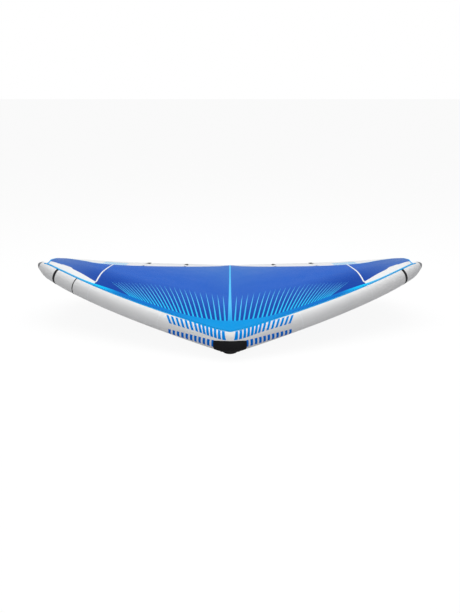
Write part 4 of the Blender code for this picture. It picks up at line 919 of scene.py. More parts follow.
@dataclass(frozen=True)
class CanopyShape:
    """The sheet between the tube and the trailing edge.

    A point is given by its place along the span and by how far it lies back: -1 at the front
    seam, 0 over the tube's top and 1 at the trailing edge.
    """

    tube: TubeLine = TubeLine()
    edge_half: float = 1.770
    edge_depth: float = 2.250
    tip_depth: float = 1.500
    edge_height: float = 0.121
    tip_height: float = 0.366
    edge_round_shares: Pair = (0.60, 0.40)
    edge_rise_shares: Pair = (0.37, 0.63)
    lean_share: float = 0.077
    centre_camber: float = 0.060
    tip_camber_share: float = 0.045
    front_shares: Pair = (0.30, 0.15)
    tip_start_share: float = 0.80
    rear_shares: Pair = (0.80, 0.42)
    blend_share: float = 0.20
    seam_gap: float = 0.5 * MM
    join_share: float = 0.07
    slope_step: float = 0.02
    cloth_step: float = 0.002
    newton_steps: int = 12
    round_powers: tuple[int, int] = (2, 8)
    rise_power: int = 4
    band_depth: float = 0.500
    band_place_shares: tuple[float, ...] = (0.0, 0.025, 0.08, 0.15, 0.22, 0.29, 0.35, 0.41, 0.46,
                                            0.57, 0.66, 0.76, 0.80, 0.90, 1.0)
    band_depth_shares: tuple[float, ...] = (0.12, 0.20, 0.335, 0.40, 0.52, 0.635, 0.71, 0.79,
                                            0.865, 1.0, 1.11, 1.16, 1.10, 0.70, 0.06)
    arc_share: float = 0.70
    side_end: float = 0.972
    wedge_places: tuple[float, ...] = (0.70, 0.73, 0.76, 0.792, 0.825, 0.855, 0.90, 0.931, 0.972)
    wedge_backs: tuple[float, ...] = (-0.540, -0.400, -0.230, -0.055, 0.050, 0.096, 0.084, -0.030,
                                      -0.250)

    def edge(self, place: Array) -> Array:
        """The trailing edge: even powers of the place draw it forward and lift its ends."""
        share = np.abs(place)
        round_a, round_b = self.edge_round_shares
        rise_a, rise_b = self.edge_rise_shares
        low, high = self.round_powers
        drawn = round_a * share ** low + round_b * share ** high
        lifted = rise_a * self.tube.bend(share) + rise_b * share ** self.rise_power
        depth = self.edge_depth + (self.tip_depth - self.edge_depth) * drawn
        height = self.edge_height + (self.tip_height - self.edge_height) * lifted
        line = np.stack([self.edge_half * place, depth, height], axis=-1)
        return line + np.array(self.tube.origin)

    def edge_behind(self, place: Array) -> Array:
        """The trailing-edge point of a column, which leans towards the middle of the span."""
        share = np.abs(place)
        return self.edge(np.sign(place) * (share - self.lean_share * 4.0 * share * (1.0 - share)))

    def top(self, place: Array) -> Array:
        """The point over the top of the tube."""
        return self.tube.skin(place, np.zeros_like(place), self.seam_gap)

    def chord(self, place: Array) -> Array:
        """Length of a column from the tube's top to the trailing edge."""
        return np.linalg.norm(self.edge_behind(place) - self.top(place), axis=-1)

    def belly(self, place: Array, back: Array) -> Array:
        """Height over the column's straight line: a parabola, a level stretch and a parabola."""
        share = np.abs(place)
        out = smooth_step(share / self.blend_share)
        height = (1.0 - out) * self.centre_camber + out * self.tip_camber_share * self.chord(place)
        rear = (1.0 - out) * self.rear_shares[0] + out * self.rear_shares[1]
        tip = smooth_step((share - self.tip_start_share) / (1.0 - self.tip_start_share))
        front = (1.0 - tip) * self.front_shares[0] + tip * self.front_shares[1]
        rising = 1.0 - (1.0 - np.minimum(back / front, 1.0)) ** 2
        falling = 1.0 - np.maximum((back - rear) / (1.0 - rear), 0.0) ** 2
        return height * np.where(back < front, rising, falling)

    def behind(self, place: Array, back: Array) -> Array:
        """The sheet behind the tube's top: the column's line lifted by its belly."""
        top, edge = self.top(place), self.edge_behind(place)
        point = top + (edge - top) * back[..., None]
        point[..., 2] += self.belly(place, back)
        return point

    def sheet(self, place: Array, back: Array) -> Array:
        """The whole sheet: behind the joint it follows its belly, before it a cubic curve leaves
        the front seam along the tube's skin and meets the belly with its slope."""
        place, back = np.broadcast_arrays(np.asarray(place, float), np.asarray(back, float))
        join = np.full_like(place, self.join_share)
        seam = self.tube.seam_angle(place)
        start = self.tube.skin(place, seam, self.seam_gap)
        ahead = self.tube.skin(place, seam - self.slope_step, self.seam_gap)
        end = self.behind(place, join)
        after = self.behind(place, join + self.cloth_step)
        span = np.linalg.norm(end - start, axis=-1, keepdims=True)
        out_dir, in_dir = unit(ahead - start) * span, unit(after - end) * span
        turn = np.clip((back + 1.0) / (1.0 + self.join_share), 0.0, 1.0)[..., None]
        curve = ((2.0 * turn ** 3 - 3.0 * turn ** 2 + 1.0) * start
                 + (turn ** 3 - 2.0 * turn ** 2 + turn) * out_dir
                 + (3.0 * turn ** 2 - 2.0 * turn ** 3) * end
                 + (turn ** 3 - turn ** 2) * in_dir)
        rear = self.behind(place, np.maximum(back, join))
        return np.where((back < join)[..., None], curve, rear)

    def normal(self, place: Array, back: Array) -> Array:
        """Upward direction: the cross product of the sheet's two slopes."""
        place, back = np.broadcast_arrays(np.asarray(place, float), np.asarray(back, float))
        step = self.cloth_step
        low, high = np.clip(back - step, -1.0, 1.0), np.clip(back + step, -1.0, 1.0)
        chordwise = self.sheet(place, high) - self.sheet(place, low)
        spanwise = self.sheet(place + step, back) - self.sheet(place - step, back)
        return unit(np.cross(spanwise, chordwise))

    def lifted(self, place: Array, back: Array, lift: Array | float) -> Array:
        """A point over the sheet's underside."""
        lift = np.asarray(lift, float)
        return self.sheet(place, back) + lift[..., None] * self.normal(place, back)

    def band_start(self, place: Array) -> Array:
        """Where the white rear panel starts: its depth along the span, as a share of the chord."""
        depth = self.band_depth * np.interp(np.abs(place), self.band_place_shares,
                                            self.band_depth_shares)
        return 1.0 - depth / self.chord(place)

    def wedge_end(self, place: Array) -> Array:
        """Where the white wedge at the tip ends."""
        return np.interp(np.abs(place), self.wedge_places, self.wedge_backs)

    def locate(self, across: Array, behind: Array) -> tuple[Array, Array]:
        """Place and back value of points given in plan, right side.

        Args:
            across: Distances from the wing's middle.
            behind: Distances behind the middle of the tube at the nose.

        Returns:
            Places along the span and back values, by Newton steps on the sheet.
        """
        across, behind = np.asarray(across, float), np.asarray(behind, float)
        goal = np.stack([across, behind + self.tube.origin[1]], axis=-1)
        place = across / self.tube.half_line
        front = self.tube.middle(place)[..., 1]
        rear = self.edge_behind(place)[..., 1]
        back = (goal[..., 1] - front) / (rear - front)
        for _ in range(self.newton_steps):
            here = self.sheet(place, back)[..., :2]
            by_place = (self.sheet(place + STEP, back)[..., :2] - here) / STEP
            by_back = (self.sheet(place, back + STEP)[..., :2] - here) / STEP
            miss = goal - here
            area = by_place[..., 0] * by_back[..., 1] - by_place[..., 1] * by_back[..., 0]
            place = place + (miss[..., 0] * by_back[..., 1] - miss[..., 1] * by_back[..., 0]) / area
            back = back + (by_place[..., 0] * miss[..., 1] - by_place[..., 1] * miss[..., 0]) / area
            place, back = np.clip(place, 0.0, 1.0), np.clip(back, -1.0, 1.0)
        return place, back


@dataclass
class Assembly:
    """A group of pieces that take their finishes from one shelf."""

    shelf: Shelf

    def piece(self, book: MeshBook, name: str, finish: str, slot: str, *nodes: str,
              body: str = "wing") -> Piece:
        """Builds a book's mesh and lets it ride on a body in place of its solids.

        Args:
            book: The book of the mesh.
            name: The piece's name.
            finish: Its finish on the shelf.
            slot: The record's material slot; not used.
            nodes: The solids it stands for.
            body: The body it moves with.

        Returns:
            The piece.
        """
        made = book.build(name, self.shelf[finish])
        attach(made, body)
        if nodes:
            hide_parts(*nodes)
        LOG.info("%s: %d faces on %s", made.name, len(made.data.polygons), body)
        return made


@dataclass
class LeadingEdge(Assembly):
    """The inflated tube: sleeve panels, seams, piping, printed bars, pads and the bladder."""

    tube: TubeLine = field(default_factory=TubeLine)
    wall: float = 1.2 * MM
    lay_gap: float = 0.3 * MM
    seam_gap: float = 0.5 * MM
    sectors: int = 96
    ring_step: float = 0.0042
    inner_ring_step: float = 0.03
    mid_seam: float = 0.33
    outer_seam: float = 0.70
    tip_seam: float = 0.90
    pucker_depth: float = 1.3 * MM
    pucker_reach: float = 0.026
    pucker_waves: Pair = (19.0, 31.0)
    pucker_shares: Triple = (0.5, 0.28, 0.22)
    pucker_phase: float = 5.0
    metres_a_place: float = 2.15
    tip_rows: tuple[int, int, int] = (24, 10, 8)
    tip_end_shares: Triple = (0.94, 0.84, 0.80)
    bladder_inset: float = 4.6 * MM
    bladder_step: float = 0.02
    bladder_sectors: int = 48
    seam_tape_width: float = 15 * MM
    seam_tape_thick: float = 0.5 * MM
    ring_tape_width: float = 26 * MM
    ring_tape_thick: float = 1.0 * MM
    tape_step: float = 3.5 * DEGREE
    # A thin black strip round the left half of the tube only: painted shade of a wrinkle, laid as a
    # ring of black webbing
    line_place: float = -0.788
    line_width: float = 11 * MM
    tape_turns: Pair = (28.0 * DEGREE, 340.0 * DEGREE)
    piping_set: float = 0.8 * MM
    piping_width: float = 12 * MM
    piping_height: float = 2.6 * MM
    piping_step: float = 0.004
    piping_columns: int = 9
    piping_least_share: float = 0.02
    piping_end: float = 0.988
    tip_pad_start: float = 15 * MM
    tip_pad_thick: float = 2.5 * MM
    tip_pad_rows: int = 20
    tip_pad_lip: int = 3
    tip_pad_least_share: float = 0.1
    tip_pad_point_share: float = 0.6
    film_lift: float = 0.15 * MM
    film_thick: float = 0.25 * MM
    bars: int = 14
    bar_share: float = 0.0124
    bar_rows: int = 14
    bar_map: float = 0.1
    bar_columns: int = 5
    bar_tops: tuple[Pair, ...] = ((0.0300, 29.0), (0.155, 25.5), (0.297, 34.5))
    bar_feet: tuple[Pair, ...] = ((0.0185, 73.9), (0.128, 67.5), (0.266, 71.9))
    blocks: int = 11
    block_share: float = 0.0122
    block_tops: tuple[Pair, ...] = ((0.0610, 85.0), (0.161, 91.5), (0.267, 103.0))
    block_feet: tuple[Pair, ...] = ((0.0600, 125.0), (0.162, 129.0), (0.271, 142.0))

    def pucker(self, place: Array, angle: Array) -> Array:
        """Depth of the gathers: two waves round the tube that fade with distance from a seam."""
        (first, second), (level, slow, fast) = self.pucker_waves, self.pucker_shares
        depth = np.zeros(np.broadcast(place, angle).shape)
        for seam in (self.mid_seam, self.outer_seam, self.tip_seam):
            away = np.abs(np.abs(place) - seam) * self.metres_a_place
            fade = np.exp(-away / self.pucker_reach)
            phase = self.pucker_phase * seam + np.sign(place)
            waves = (level + slow * np.sin(first * angle + phase)
                     + fast * np.sin(second * angle - phase))
            depth = depth + self.pucker_depth * fade * waves
        return depth

    def surface(self, place: Array, angle: Array, lift: Array | float = 0.0) -> Array:
        """A point over the sleeve's outside, gathers included."""
        place, angle = np.broadcast_arrays(np.asarray(place, float), np.asarray(angle, float))
        return self.tube.skin(place, angle, lift - self.pucker(place, angle))

    def rings(self, places: Array, lift: Array | float) -> Array:
        """Whole rings of the sleeve at the given places."""
        return self.surface(places[:, None], circle(self.sectors)[None, :], lift)

    def ring_map(self, places: Array, sectors: int) -> Array:
        """The map of whole rings: round the tube and along it."""
        round_it = np.linspace(0.0, FULL_TURN, sectors + 1) * self.tube.nose_radius
        return metre_map(round_it, places * self.metres_a_place)

    def sleeve(self, name: str, places: Array, inside: Array, *nodes: str,
               closed_end: bool = False) -> Piece:
        """A sleeve panel with smooth inner rings.

        Args:
            name: The piece's name.
            places: Places of its outer rings.
            inside: Places of its inner rings.
            nodes: The solids it stands for.
            closed_end: The last rings are closed.

        Returns:
            The panel.
        """
        inset = -self.wall - self.pucker_depth
        inner = self.tube.skin(inside[:, None], circle(self.sectors)[None, :], inset)
        book = MeshBook().shell(self.rings(places, 0.0), inner, self.ring_map(places, self.sectors),
                                self.ring_map(inside, self.sectors), closed_end)
        return self.piece(book, name, "sleeve", "white_dacron", *nodes)

    def panel(self, name: str, low: float, high: float, *nodes: str) -> Piece:
        """A sleeve panel between two seams, half a seam gap inside them."""
        half_gap = math.copysign(self.seam_gap / 2.0 / self.metres_a_place, high - low)
        places, inside = [spread(low + half_gap, high - half_gap, step)
                          for step in (self.ring_step, self.inner_ring_step)]
        return self.sleeve(name, places, inside, *nodes)

    def tip_places(self, start: float, rows: int, share: float) -> Array:
        """Places over the rounded tip, closer together towards its pole by a sine."""
        reach = self.tube.tip_length / self.tube.half_line
        round_part = 1.0 + reach * np.sin(np.linspace(0.0, share * math.pi / 2.0, rows))
        return round_part if start >= 1.0 else np.concatenate(
            [spread(start, 1.0, self.ring_step)[:-1], round_part])

    def tip_sleeve(self, side: Side) -> Piece:
        """The last sleeve panel, closed over the tip."""
        start = self.tip_seam + self.seam_gap / 2.0 / self.metres_a_place
        places, inside = [self.tip_places(start, rows, share) * side.value
                          for rows, share in zip(self.tip_rows[:2], self.tip_end_shares)]
        return self.sleeve(f"sleeve_tip_{side.word}", places, inside,
                           f"leading_edge_sleeve_tip_{side.word}", closed_end=True)

    def patch(self, places: Array, turns: Array, low: Array | float, high: Array | float,
              ) -> MeshBook:
        """A sheet on the tube between two lifts.

        Args:
            places: Places along the tube, a row or a grid.
            turns: Angles round it, a column or a grid.
            low: Lift of its underside.
            high: Lift of its top, which may vary over the grid.

        Returns:
            The book of the sheet.
        """
        places, turns = np.broadcast_arrays(places, turns)
        uv = np.stack([turns * self.tube.nose_radius, places * self.metres_a_place], axis=-1)
        return MeshBook().slab(self.surface(places, turns, low), self.surface(places, turns, high),
                               uv)

    def ring_strip(self, place: float, width: float, thick: float) -> MeshBook:
        """A tape round the tube from the piping to behind it, its edges rounded off."""
        shares = eased(TAPE_POINTS)
        places = place + (shares - 0.5)[:, None] * width / self.metres_a_place
        turns = spread(*self.tape_turns, self.tape_step)[None, :]
        top = self.lay_gap + thick * crown(2.0 * shares - 1.0, TAPE_POWER)[:, None]
        return self.patch(places, turns, self.lay_gap, top)

    def piping(self, side: Side) -> Piece:
        """The round cord over the front seam: a half ellipse that follows the seam's angle."""
        start = self.seam_gap / 2.0 / self.metres_a_place
        places = spread(start, self.piping_end, self.piping_step)[:, None] * side.value
        shares = eased(self.piping_columns)[None, :]
        behind = (self.piping_set + shares * self.piping_width) / self.tube.radius(places)
        turns = self.tube.seam_angle(places) + behind
        rounded = crown(2.0 * shares - 1.0, 2, self.piping_least_share)
        top = self.lay_gap + self.piping_height * rounded
        return self.piece(self.patch(places, turns, self.lay_gap, top), f"piping_{side.word}",
                          "piping", "cyan_tape", f"leading_edge_piping_{side.word}")

    def tip_pad(self, side: Side) -> Piece:
        """The rubber cap over the tip, rounded at its lip and a little pointed at its pole."""
        reach = self.tube.tip_length / self.tube.half_line
        first = math.asin(self.tip_pad_start / self.tube.tip_length) / (math.pi / 2.0)
        turn = np.linspace(first, self.tip_end_shares[0], self.tip_pad_rows) * math.pi / 2.0
        places = (1.0 + reach * np.sin(turn)) * side.value
        lip = (turn - turn[0]) / (turn[self.tip_pad_lip] - turn[0])
        lip = np.clip(lip, self.tip_pad_least_share, 1.0)
        outer = self.rings(places, (self.lay_gap + self.tip_pad_thick * np.sqrt(lip))[:, None])
        pole = unit(outer[-1].mean(axis=0) - outer[-1 - self.tip_pad_lip].mean(axis=0))
        outer[-1] = outer[-1] + pole * self.tip_pad_thick * self.tip_pad_point_share
        chart = self.ring_map(places, self.sectors)
        book = MeshBook().shell(outer, self.rings(places, self.lay_gap), chart, chart, True)
        return self.piece(book, f"tip_cap_{side.word}", "tip", "black_rubber",
                          f"tip_pad_{side.word}")

    def printed(self, name: str, count: int, wide: float, tops: tuple, feet: tuple, side: Side,
                finish: str) -> Piece:
        """A row of slanted printed bars as one piece of thin film.

        Args:
            name: The row's name.
            count: Number of bars.
            wide: Width of a bar as a share of the half line.
            tops: Place and angle of the first, middle and last bar's upper end.
            feet: The same for the lower ends.
            side: Half of the wing.
            finish: Their finish.

        Returns:
            The row.
        """
        knots = (0.0, 0.5, 1.0)
        top, foot = [[np.interp(even(count), knots, [row[axis] for row in ends]) for axis in (0, 1)]
                     for ends in (tops, feet)]
        down = even(self.bar_rows)[None, :, None]
        places, turns = [(a[:, None, None] * (1.0 - down) + b[:, None, None] * down)
                         for a, b in zip(top, foot)]
        wide = (even(self.bar_columns) - 0.5)[None, None, :] * wide
        places = (places + wide) * side.value
        turns = np.broadcast_to(turns * DEGREE, places.shape)
        uv = np.stack([places * self.metres_a_place,
                       np.broadcast_to(down * self.bar_map, places.shape)], axis=-1)
        low, high = [self.surface(places, turns, lift)
                     for lift in (self.film_lift, self.film_lift + self.film_thick)]
        return self.piece(MeshBook().slabs(low, high, uv), f"{name}_{side.word}", finish,
                          "blue_ripstop")

    def bladder(self) -> Piece:
        """The air bladder inside the sleeve, closed at both ends."""
        round_part = self.tip_places(1.0, self.tip_rows[2], self.tip_end_shares[2])
        right = np.concatenate([spread(0.0, 1.0, self.bladder_step)[:-1], round_part])
        places = np.concatenate([-right[:0:-1], right])
        turns = circle(self.bladder_sectors)[None, :]
        rings = self.tube.skin(places[:, None], turns, -self.bladder_inset)
        book = MeshBook().loft(rings, self.ring_map(places, self.bladder_sectors))
        return self.piece(book, "leading_edge_air_bladder", "film", "bladder_tpu",
                          "leading_edge_bladder")

    def build(self) -> None:
        """Every piece of the leading edge."""
        node = "leading_edge_sleeve"
        self.panel("sleeve_centre", -self.mid_seam, self.mid_seam, f"{node}_centre",
                   f"{node}_inner_left", f"{node}_inner_right")
        for side in Side:
            sign, word = side.value, side.word
            for label, low, high in (("mid", self.mid_seam, self.outer_seam),
                                     ("outer", self.outer_seam, self.tip_seam)):
                self.panel(f"sleeve_{label}_{word}", sign * low, sign * high,
                           f"{node}_{label}_{word}")
            self.tip_sleeve(side)
            self.piping(side)
            self.tip_pad(side)
            for label, place in (("mid", self.mid_seam), ("outer", self.outer_seam)):
                self.piece(self.ring_strip(sign * place, self.seam_tape_width,
                                           self.seam_tape_thick),
                           f"seam_strip_{label}_{word}", "tape", "white_dacron")
            self.piece(self.ring_strip(sign * self.tip_seam, self.ring_tape_width,
                                       self.ring_tape_thick),
                       f"tip_ring_tape_{word}", "webbing", "black_webbing", f"tip_seam_tape_{word}")
            self.printed("upper_bars", self.bars, self.bar_share, self.bar_tops, self.bar_feet,
                         side, "stripe")
            self.printed("lower_blocks", self.blocks, self.block_share, self.block_tops,
                         self.block_feet, side, "block")
        # Painted shade of a wrinkle: a thin black strip round the left tube only
        self.piece(self.ring_strip(self.line_place, self.line_width, self.seam_tape_thick),
                   "tip_line_left", "webbing", "black_webbing")
        self.bladder()


@dataclass
class Canopy(Assembly):
    """The sheet of cloth: panels, printed band and rays, tapes, hems and batten pockets."""

    shape: CanopyShape = field(default_factory=CanopyShape)
    cloth: float = 1.2 * MM
    seam_gap: float = 0.5 * MM
    film_lift: float = 0.30 * MM
    film_thick: float = 0.20 * MM
    tape_lift: float = 0.6 * MM
    tape_thick: float = 0.6 * MM
    column_step: float = 0.0075
    row_step: float = 0.012
    front_rows: int = 44
    tip_rows: int = 100
    wedge_rows: int = 46
    rear_rows: int = 40
    band_rows: int = 40
    print_step: float = 0.0042
    print_start: float = -0.995
    front_end: float = 0.07
    band_places: tuple[float, ...] = (0.0, 0.02, 0.031, 0.078, 0.147, 0.199, 0.240, 0.320, 0.400,
                                      0.451, 0.505, 0.560, 0.610, 0.660, 0.700, 0.740, 0.790, 1.0)
    band_backs: tuple[float, ...] = (0.0, -0.03, -0.066, -0.268, -0.528, -0.663, -0.695, -0.712,
                                     -0.723, -0.705, -0.685, -0.680, -0.685, -0.755, -0.835,
                                     -0.900, -0.940, -0.955)
    stripe_front: float = 60 * MM
    stripe_rear: float = 21 * MM
    stripe_start: float = -0.10
    stripe_power: float = 2.6
    stripe_columns: int = 13
    stripe_rows: tuple[int, int] = (30, 150)
    arc_tape_width: float = 9 * MM
    arc_tape_room: float = 1.25
    arc_rows: tuple[int, int] = (30, 110)
    hem_width: float = 14 * MM
    hem_rows: int = 6
    ray_knots: tuple[float, ...] = (0.056, 0.148, 0.229, 0.348, 0.55, 0.900)
    ray_root: float = 0.06
    ray_shift: tuple[float, ...] = (0.009, 0.033, 0.067, 0.097, 0.165, 0.212)
    ray_tip_y: tuple[float, ...] = (0.789, 0.733, 0.701, 0.747, 0.800, 0.760)
    ray_width: tuple[float, ...] = (0.0160, 0.0155, 0.0150, 0.0145, 0.0132, 0.0090)
    ray_pitches: Pair = (0.0425, 0.0262)
    ray_lift: float = 0.24 * MM
    ray_map: float = 0.02
    ray_rows: int = 44
    ray_columns: int = 4
    ray_point_share: float = 0.03
    ray_power: float = 0.9
    hatch_places: Pair = (0.645, 0.748)
    hatch_lines: int = 13
    hatch_rows: int = 12
    edge_rows: int = 5
    hatch_width: float = 6.5 * MM
    hatch_lean: float = 0.012
    hatch_shares: Pair = (0.01, 0.45)
    edge_line_start: float = 0.745
    edge_line_width: float = 14 * MM
    binding_width: float = 11 * MM
    binding_start: float = 0.860
    binding_room: float = 1.02
    binding_rows: tuple[int, int] = (50, 80)
    batten_places: Pair = (0.3255, 0.555)
    pocket_depths: Pair = (0.345, 0.495)
    pocket_inside: float = 9 * MM
    pocket_foot: float = 15.8 * MM
    pocket_room: float = 3.7 * MM
    pocket_wall: float = 0.8 * MM
    pocket_floor: float = 0.7 * MM
    pocket_columns: int = 25
    pocket_rows: int = 40
    pocket_shares: Pair = (0.02, 0.953)
    batten_shares: Pair = (0.04, 0.94)
    batten_half: float = 7.5 * MM
    batten_lift: float = 0.3 * MM
    batten_thick: float = 2.0 * MM
    batten_crown_share: float = 0.2
    batten_counts: tuple[int, int, int] = (8, 60, 9)
    batten_power: int = 4
    batten_end: float = 9 * MM
    tab_shares: tuple[Pair, ...] = ((0.40, 0.70), (0.52, 0.82))
    tab_half: float = 21 * MM
    tab_thick: float = 1.2 * MM
    tab_points: int = 9
    tab_power: int = 6
    tab_least_share: float = 0.1

    def backs(self, ends: Array) -> Array:
        """Rows of a panel: dense over the tube by even steps, then even to each column's end.

        Args:
            ends: Back value of each column's last row.

        Returns:
            Back values, rows by columns.
        """
        rows = int(math.ceil(float(self.shape.chord(np.zeros(1))[0]) / self.row_step))
        front = np.linspace(-1.0, self.front_end, self.front_rows)[:-1, None] * np.ones_like(ends)
        rear = self.front_end + (ends - self.front_end) * even(rows)[:, None]
        return np.concatenate([front, rear])

    def chart(self, places: Array, backs: Array) -> Array:
        """The map of the cloth in metres: along the span and behind the tube's top."""
        over = self.shape.tube.nose_radius * self.shape.tube.seam_turn
        behind = np.where(backs < self.front_end, (backs + 1.0) * over,
                          backs * self.shape.chord(places))
        return np.stack([places * self.shape.tube.half_line, behind], axis=-1)

    def layer(self, places: Array, backs: Array, lifts: tuple, sign: float = 1.0,
              chart: Array | None = None) -> MeshBook:
        """A sheet over the canopy's underside.

        Args:
            places: Places, a row or a grid.
            backs: Back values, a column or a grid.
            lifts: Lift of its underside and of its top.
            sign: Side that the places are carried to after they are mapped.
            chart: Its map, if not the cloth's own.

        Returns:
            The book of the sheet.
        """
        places, backs = np.broadcast_arrays(places, backs)
        uv = self.chart(places, backs) if chart is None else chart
        return MeshBook().slab(*[self.shape.lifted(places * sign, backs, lift) for lift in lifts],
                               uv)

    def panel(self, word: str, side: Side, places: Array, backs: Array, finish: str, slot: str,
              ) -> Piece:
        """A cloth panel, cut to its measured size."""
        places = np.broadcast_to(places, backs.shape) * side.value
        node = f"rear_panel_{side.word}" if word == "rear" else f"{word}_{side.word}"
        made = self.piece(self.layer(places, backs, (0.0, self.cloth)), f"{word}_cloth_{side.word}",
                          finish, slot, f"canopy_{node}")
        points = self.shape.lifted(places, backs, self.cloth / 2.0)
        return made

    def columns(self, low: float, high: float) -> Array:
        """Places of a panel's columns, its sides half a seam gap inside."""
        half_gap = self.seam_gap / 2.0 / self.shape.tube.half_line
        return spread(low + half_gap, high - half_gap, self.column_step)

    def gap(self, places: Array) -> Array:
        """The seam gap as a share of each column."""
        return self.seam_gap / self.shape.chord(places)

    def panels(self, side: Side) -> None:
        """Main, tip, wedge and rear panels of one half."""
        shape = self.shape
        inner = self.columns(0.0, shape.arc_share)
        outer = self.columns(shape.arc_share, shape.side_end)
        whole = self.columns(0.0, shape.side_end)
        main = self.backs(shape.band_start(inner) - self.gap(inner))
        tip_start = shape.wedge_end(outer) + self.gap(outer)
        tip_end = shape.band_start(outer) - self.gap(outer)
        tip = tip_start + (tip_end - tip_start) * even(self.tip_rows)[:, None]
        wedge = -1.0 + (shape.wedge_end(outer) + 1.0) * even(self.wedge_rows)[:, None]
        start = shape.band_start(whole)
        rear = start + (1.0 - start) * even(self.rear_rows)[:, None]
        self.panel("main", side, inner, main, "canopy", "blue_ripstop")
        self.panel("tip", side, outer, tip, "canopy", "blue_ripstop")
        self.panel("wedge", side, outer, wedge, "white", "white_ripstop")
        self.panel("rear", side, whole, rear, "white", "white_ripstop")

    def over_cloth(self, lift: float, thick: float) -> Pair:
        """Lifts of a layer that lies on the cloth's top."""
        return self.cloth + lift, self.cloth + lift + thick

    def band(self) -> Piece:
        """The printed band behind the front seam, from tip to tip."""
        right = spread(0.0, self.shape.side_end, self.print_step)
        places = np.concatenate([-right[:0:-1], right])
        ends = np.interp(np.abs(places), self.band_places, self.band_backs)
        backs = self.print_start + (ends - self.print_start) * even(self.band_rows)[:, None]
        lifts = self.over_cloth(self.film_lift, self.film_thick)
        return self.piece(self.layer(places, backs, lifts), "printed_band", "band", "cyan_tape")

    def ray_bases(self) -> Array:
        """Base distances from the middle, at a pitch that shrinks evenly outwards."""
        first, last = self.ray_pitches
        low, high = self.ray_knots[0], self.ray_knots[-1]
        slope = (first - last) / (high - low)
        count = int(math.log(first / last) / slope) + 1
        return low + first / slope * (1.0 - np.exp(-slope * np.arange(count)))

    def rays(self, side: Side) -> Piece:
        """Tapering printed rays that fan out behind the band."""
        base = self.ray_bases()
        knots = self.ray_knots
        root = base / self.shape.tube.half_line
        root_back = np.interp(root, self.band_places, self.band_backs) - self.ray_root
        start = (self.shape.sheet(root, root_back) - np.array(self.shape.tube.origin))[:, :2]
        end = np.stack([base + np.interp(base, knots, self.ray_shift),
                        np.interp(base, knots, self.ray_tip_y)], axis=-1)
        width = np.interp(base, knots, self.ray_width)
        share = even(self.ray_rows)
        across = (even(self.ray_columns) - 0.5)[None, None, :]
        along = unit(end - start)
        normal = np.stack([along[:, 1], -along[:, 0]], axis=-1)
        line = start[:, None] + (end - start)[:, None] * share[None, :, None]
        half = width[:, None] * (self.ray_point_share + (1.0 - self.ray_point_share)
                                * (1.0 - share[None, :]) ** self.ray_power)
        plan = line[:, :, None] + across[..., None] * half[:, :, None, None] * normal[:, None, None]
        places, backs = self.shape.locate(plan[..., 0], plan[..., 1])
        places = places * side.value
        low, high = [self.shape.lifted(places, backs, lift)
                     for lift in self.over_cloth(self.ray_lift, self.film_thick)]
        uv = np.stack([np.broadcast_to(across * self.ray_map, places.shape),
                       np.broadcast_to(share[None, :, None], places.shape)], axis=-1)
        return self.piece(MeshBook().slabs(low, high, uv), f"printed_rays_{side.word}", "ray",
                          "cyan_tape")

    def rows(self, first: float, end: float, counts: tuple[int, int]) -> Array:
        """A column of back values, even over the tube and even behind it."""
        return np.concatenate([np.linspace(first, self.front_end, counts[0])[:-1],
                               np.linspace(self.front_end, end, counts[1])])[:, None]

    def stripe(self) -> Piece:
        """The tapering tape over the middle seam."""
        end = float(self.shape.band_start(np.zeros(1))[0] - self.gap(np.zeros(1))[0])
        rows = self.rows(self.stripe_start, end, self.stripe_rows)
        back = np.maximum(rows, 0.0)
        taper = (1.0 - back) ** self.stripe_power
        half = (self.stripe_rear + (self.stripe_front - self.stripe_rear) * taper) / 2.0
        places = (np.linspace(-1.0, 1.0, self.stripe_columns)[None, :] * half
                  / self.shape.tube.half_line)
        chart = np.stack([places, np.broadcast_to(back, places.shape)], axis=-1)
        lifts = self.over_cloth(self.tape_lift, self.tape_thick)
        return self.piece(self.layer(places, rows, lifts, chart=chart), "centre_stripe", "centre",
                          "cyan_tape", "centre_stripe_tape")

    def arc_tape(self, side: Side) -> Piece:
        """The white tape over the seam between main panel and tip panel."""
        place = np.array([self.shape.arc_share])
        end = float(self.shape.band_start(place)[0])
        first = float(self.shape.wedge_end(place)[0])
        half = self.arc_tape_width / 2.0 / self.shape.tube.half_line * self.arc_tape_room
        places = (self.shape.arc_share + edge_to_edge(TAPE_POINTS)[None, :] * half) * side.value
        book = self.layer(places, self.rows(first, end, self.arc_rows),
                          self.over_cloth(self.tape_lift, self.tape_thick))
        return self.piece(book, f"arc_tape_{side.word}", "tape", "white_ripstop",
                          f"arc_seam_tape_{side.word}")

    def hem(self, side: Side) -> Piece:
        """The folded hem along the trailing edge."""
        places = self.columns(0.0, self.shape.side_end)
        width = self.hem_width / self.shape.chord(places)
        backs = 1.0 - width * (1.0 - eased(self.hem_rows)[:, None])
        book = self.layer(places * side.value, backs,
                          self.over_cloth(self.film_lift, self.film_thick * 2.0))
        return self.piece(book, f"rear_hem_{side.word}", "tape", "white_ripstop")

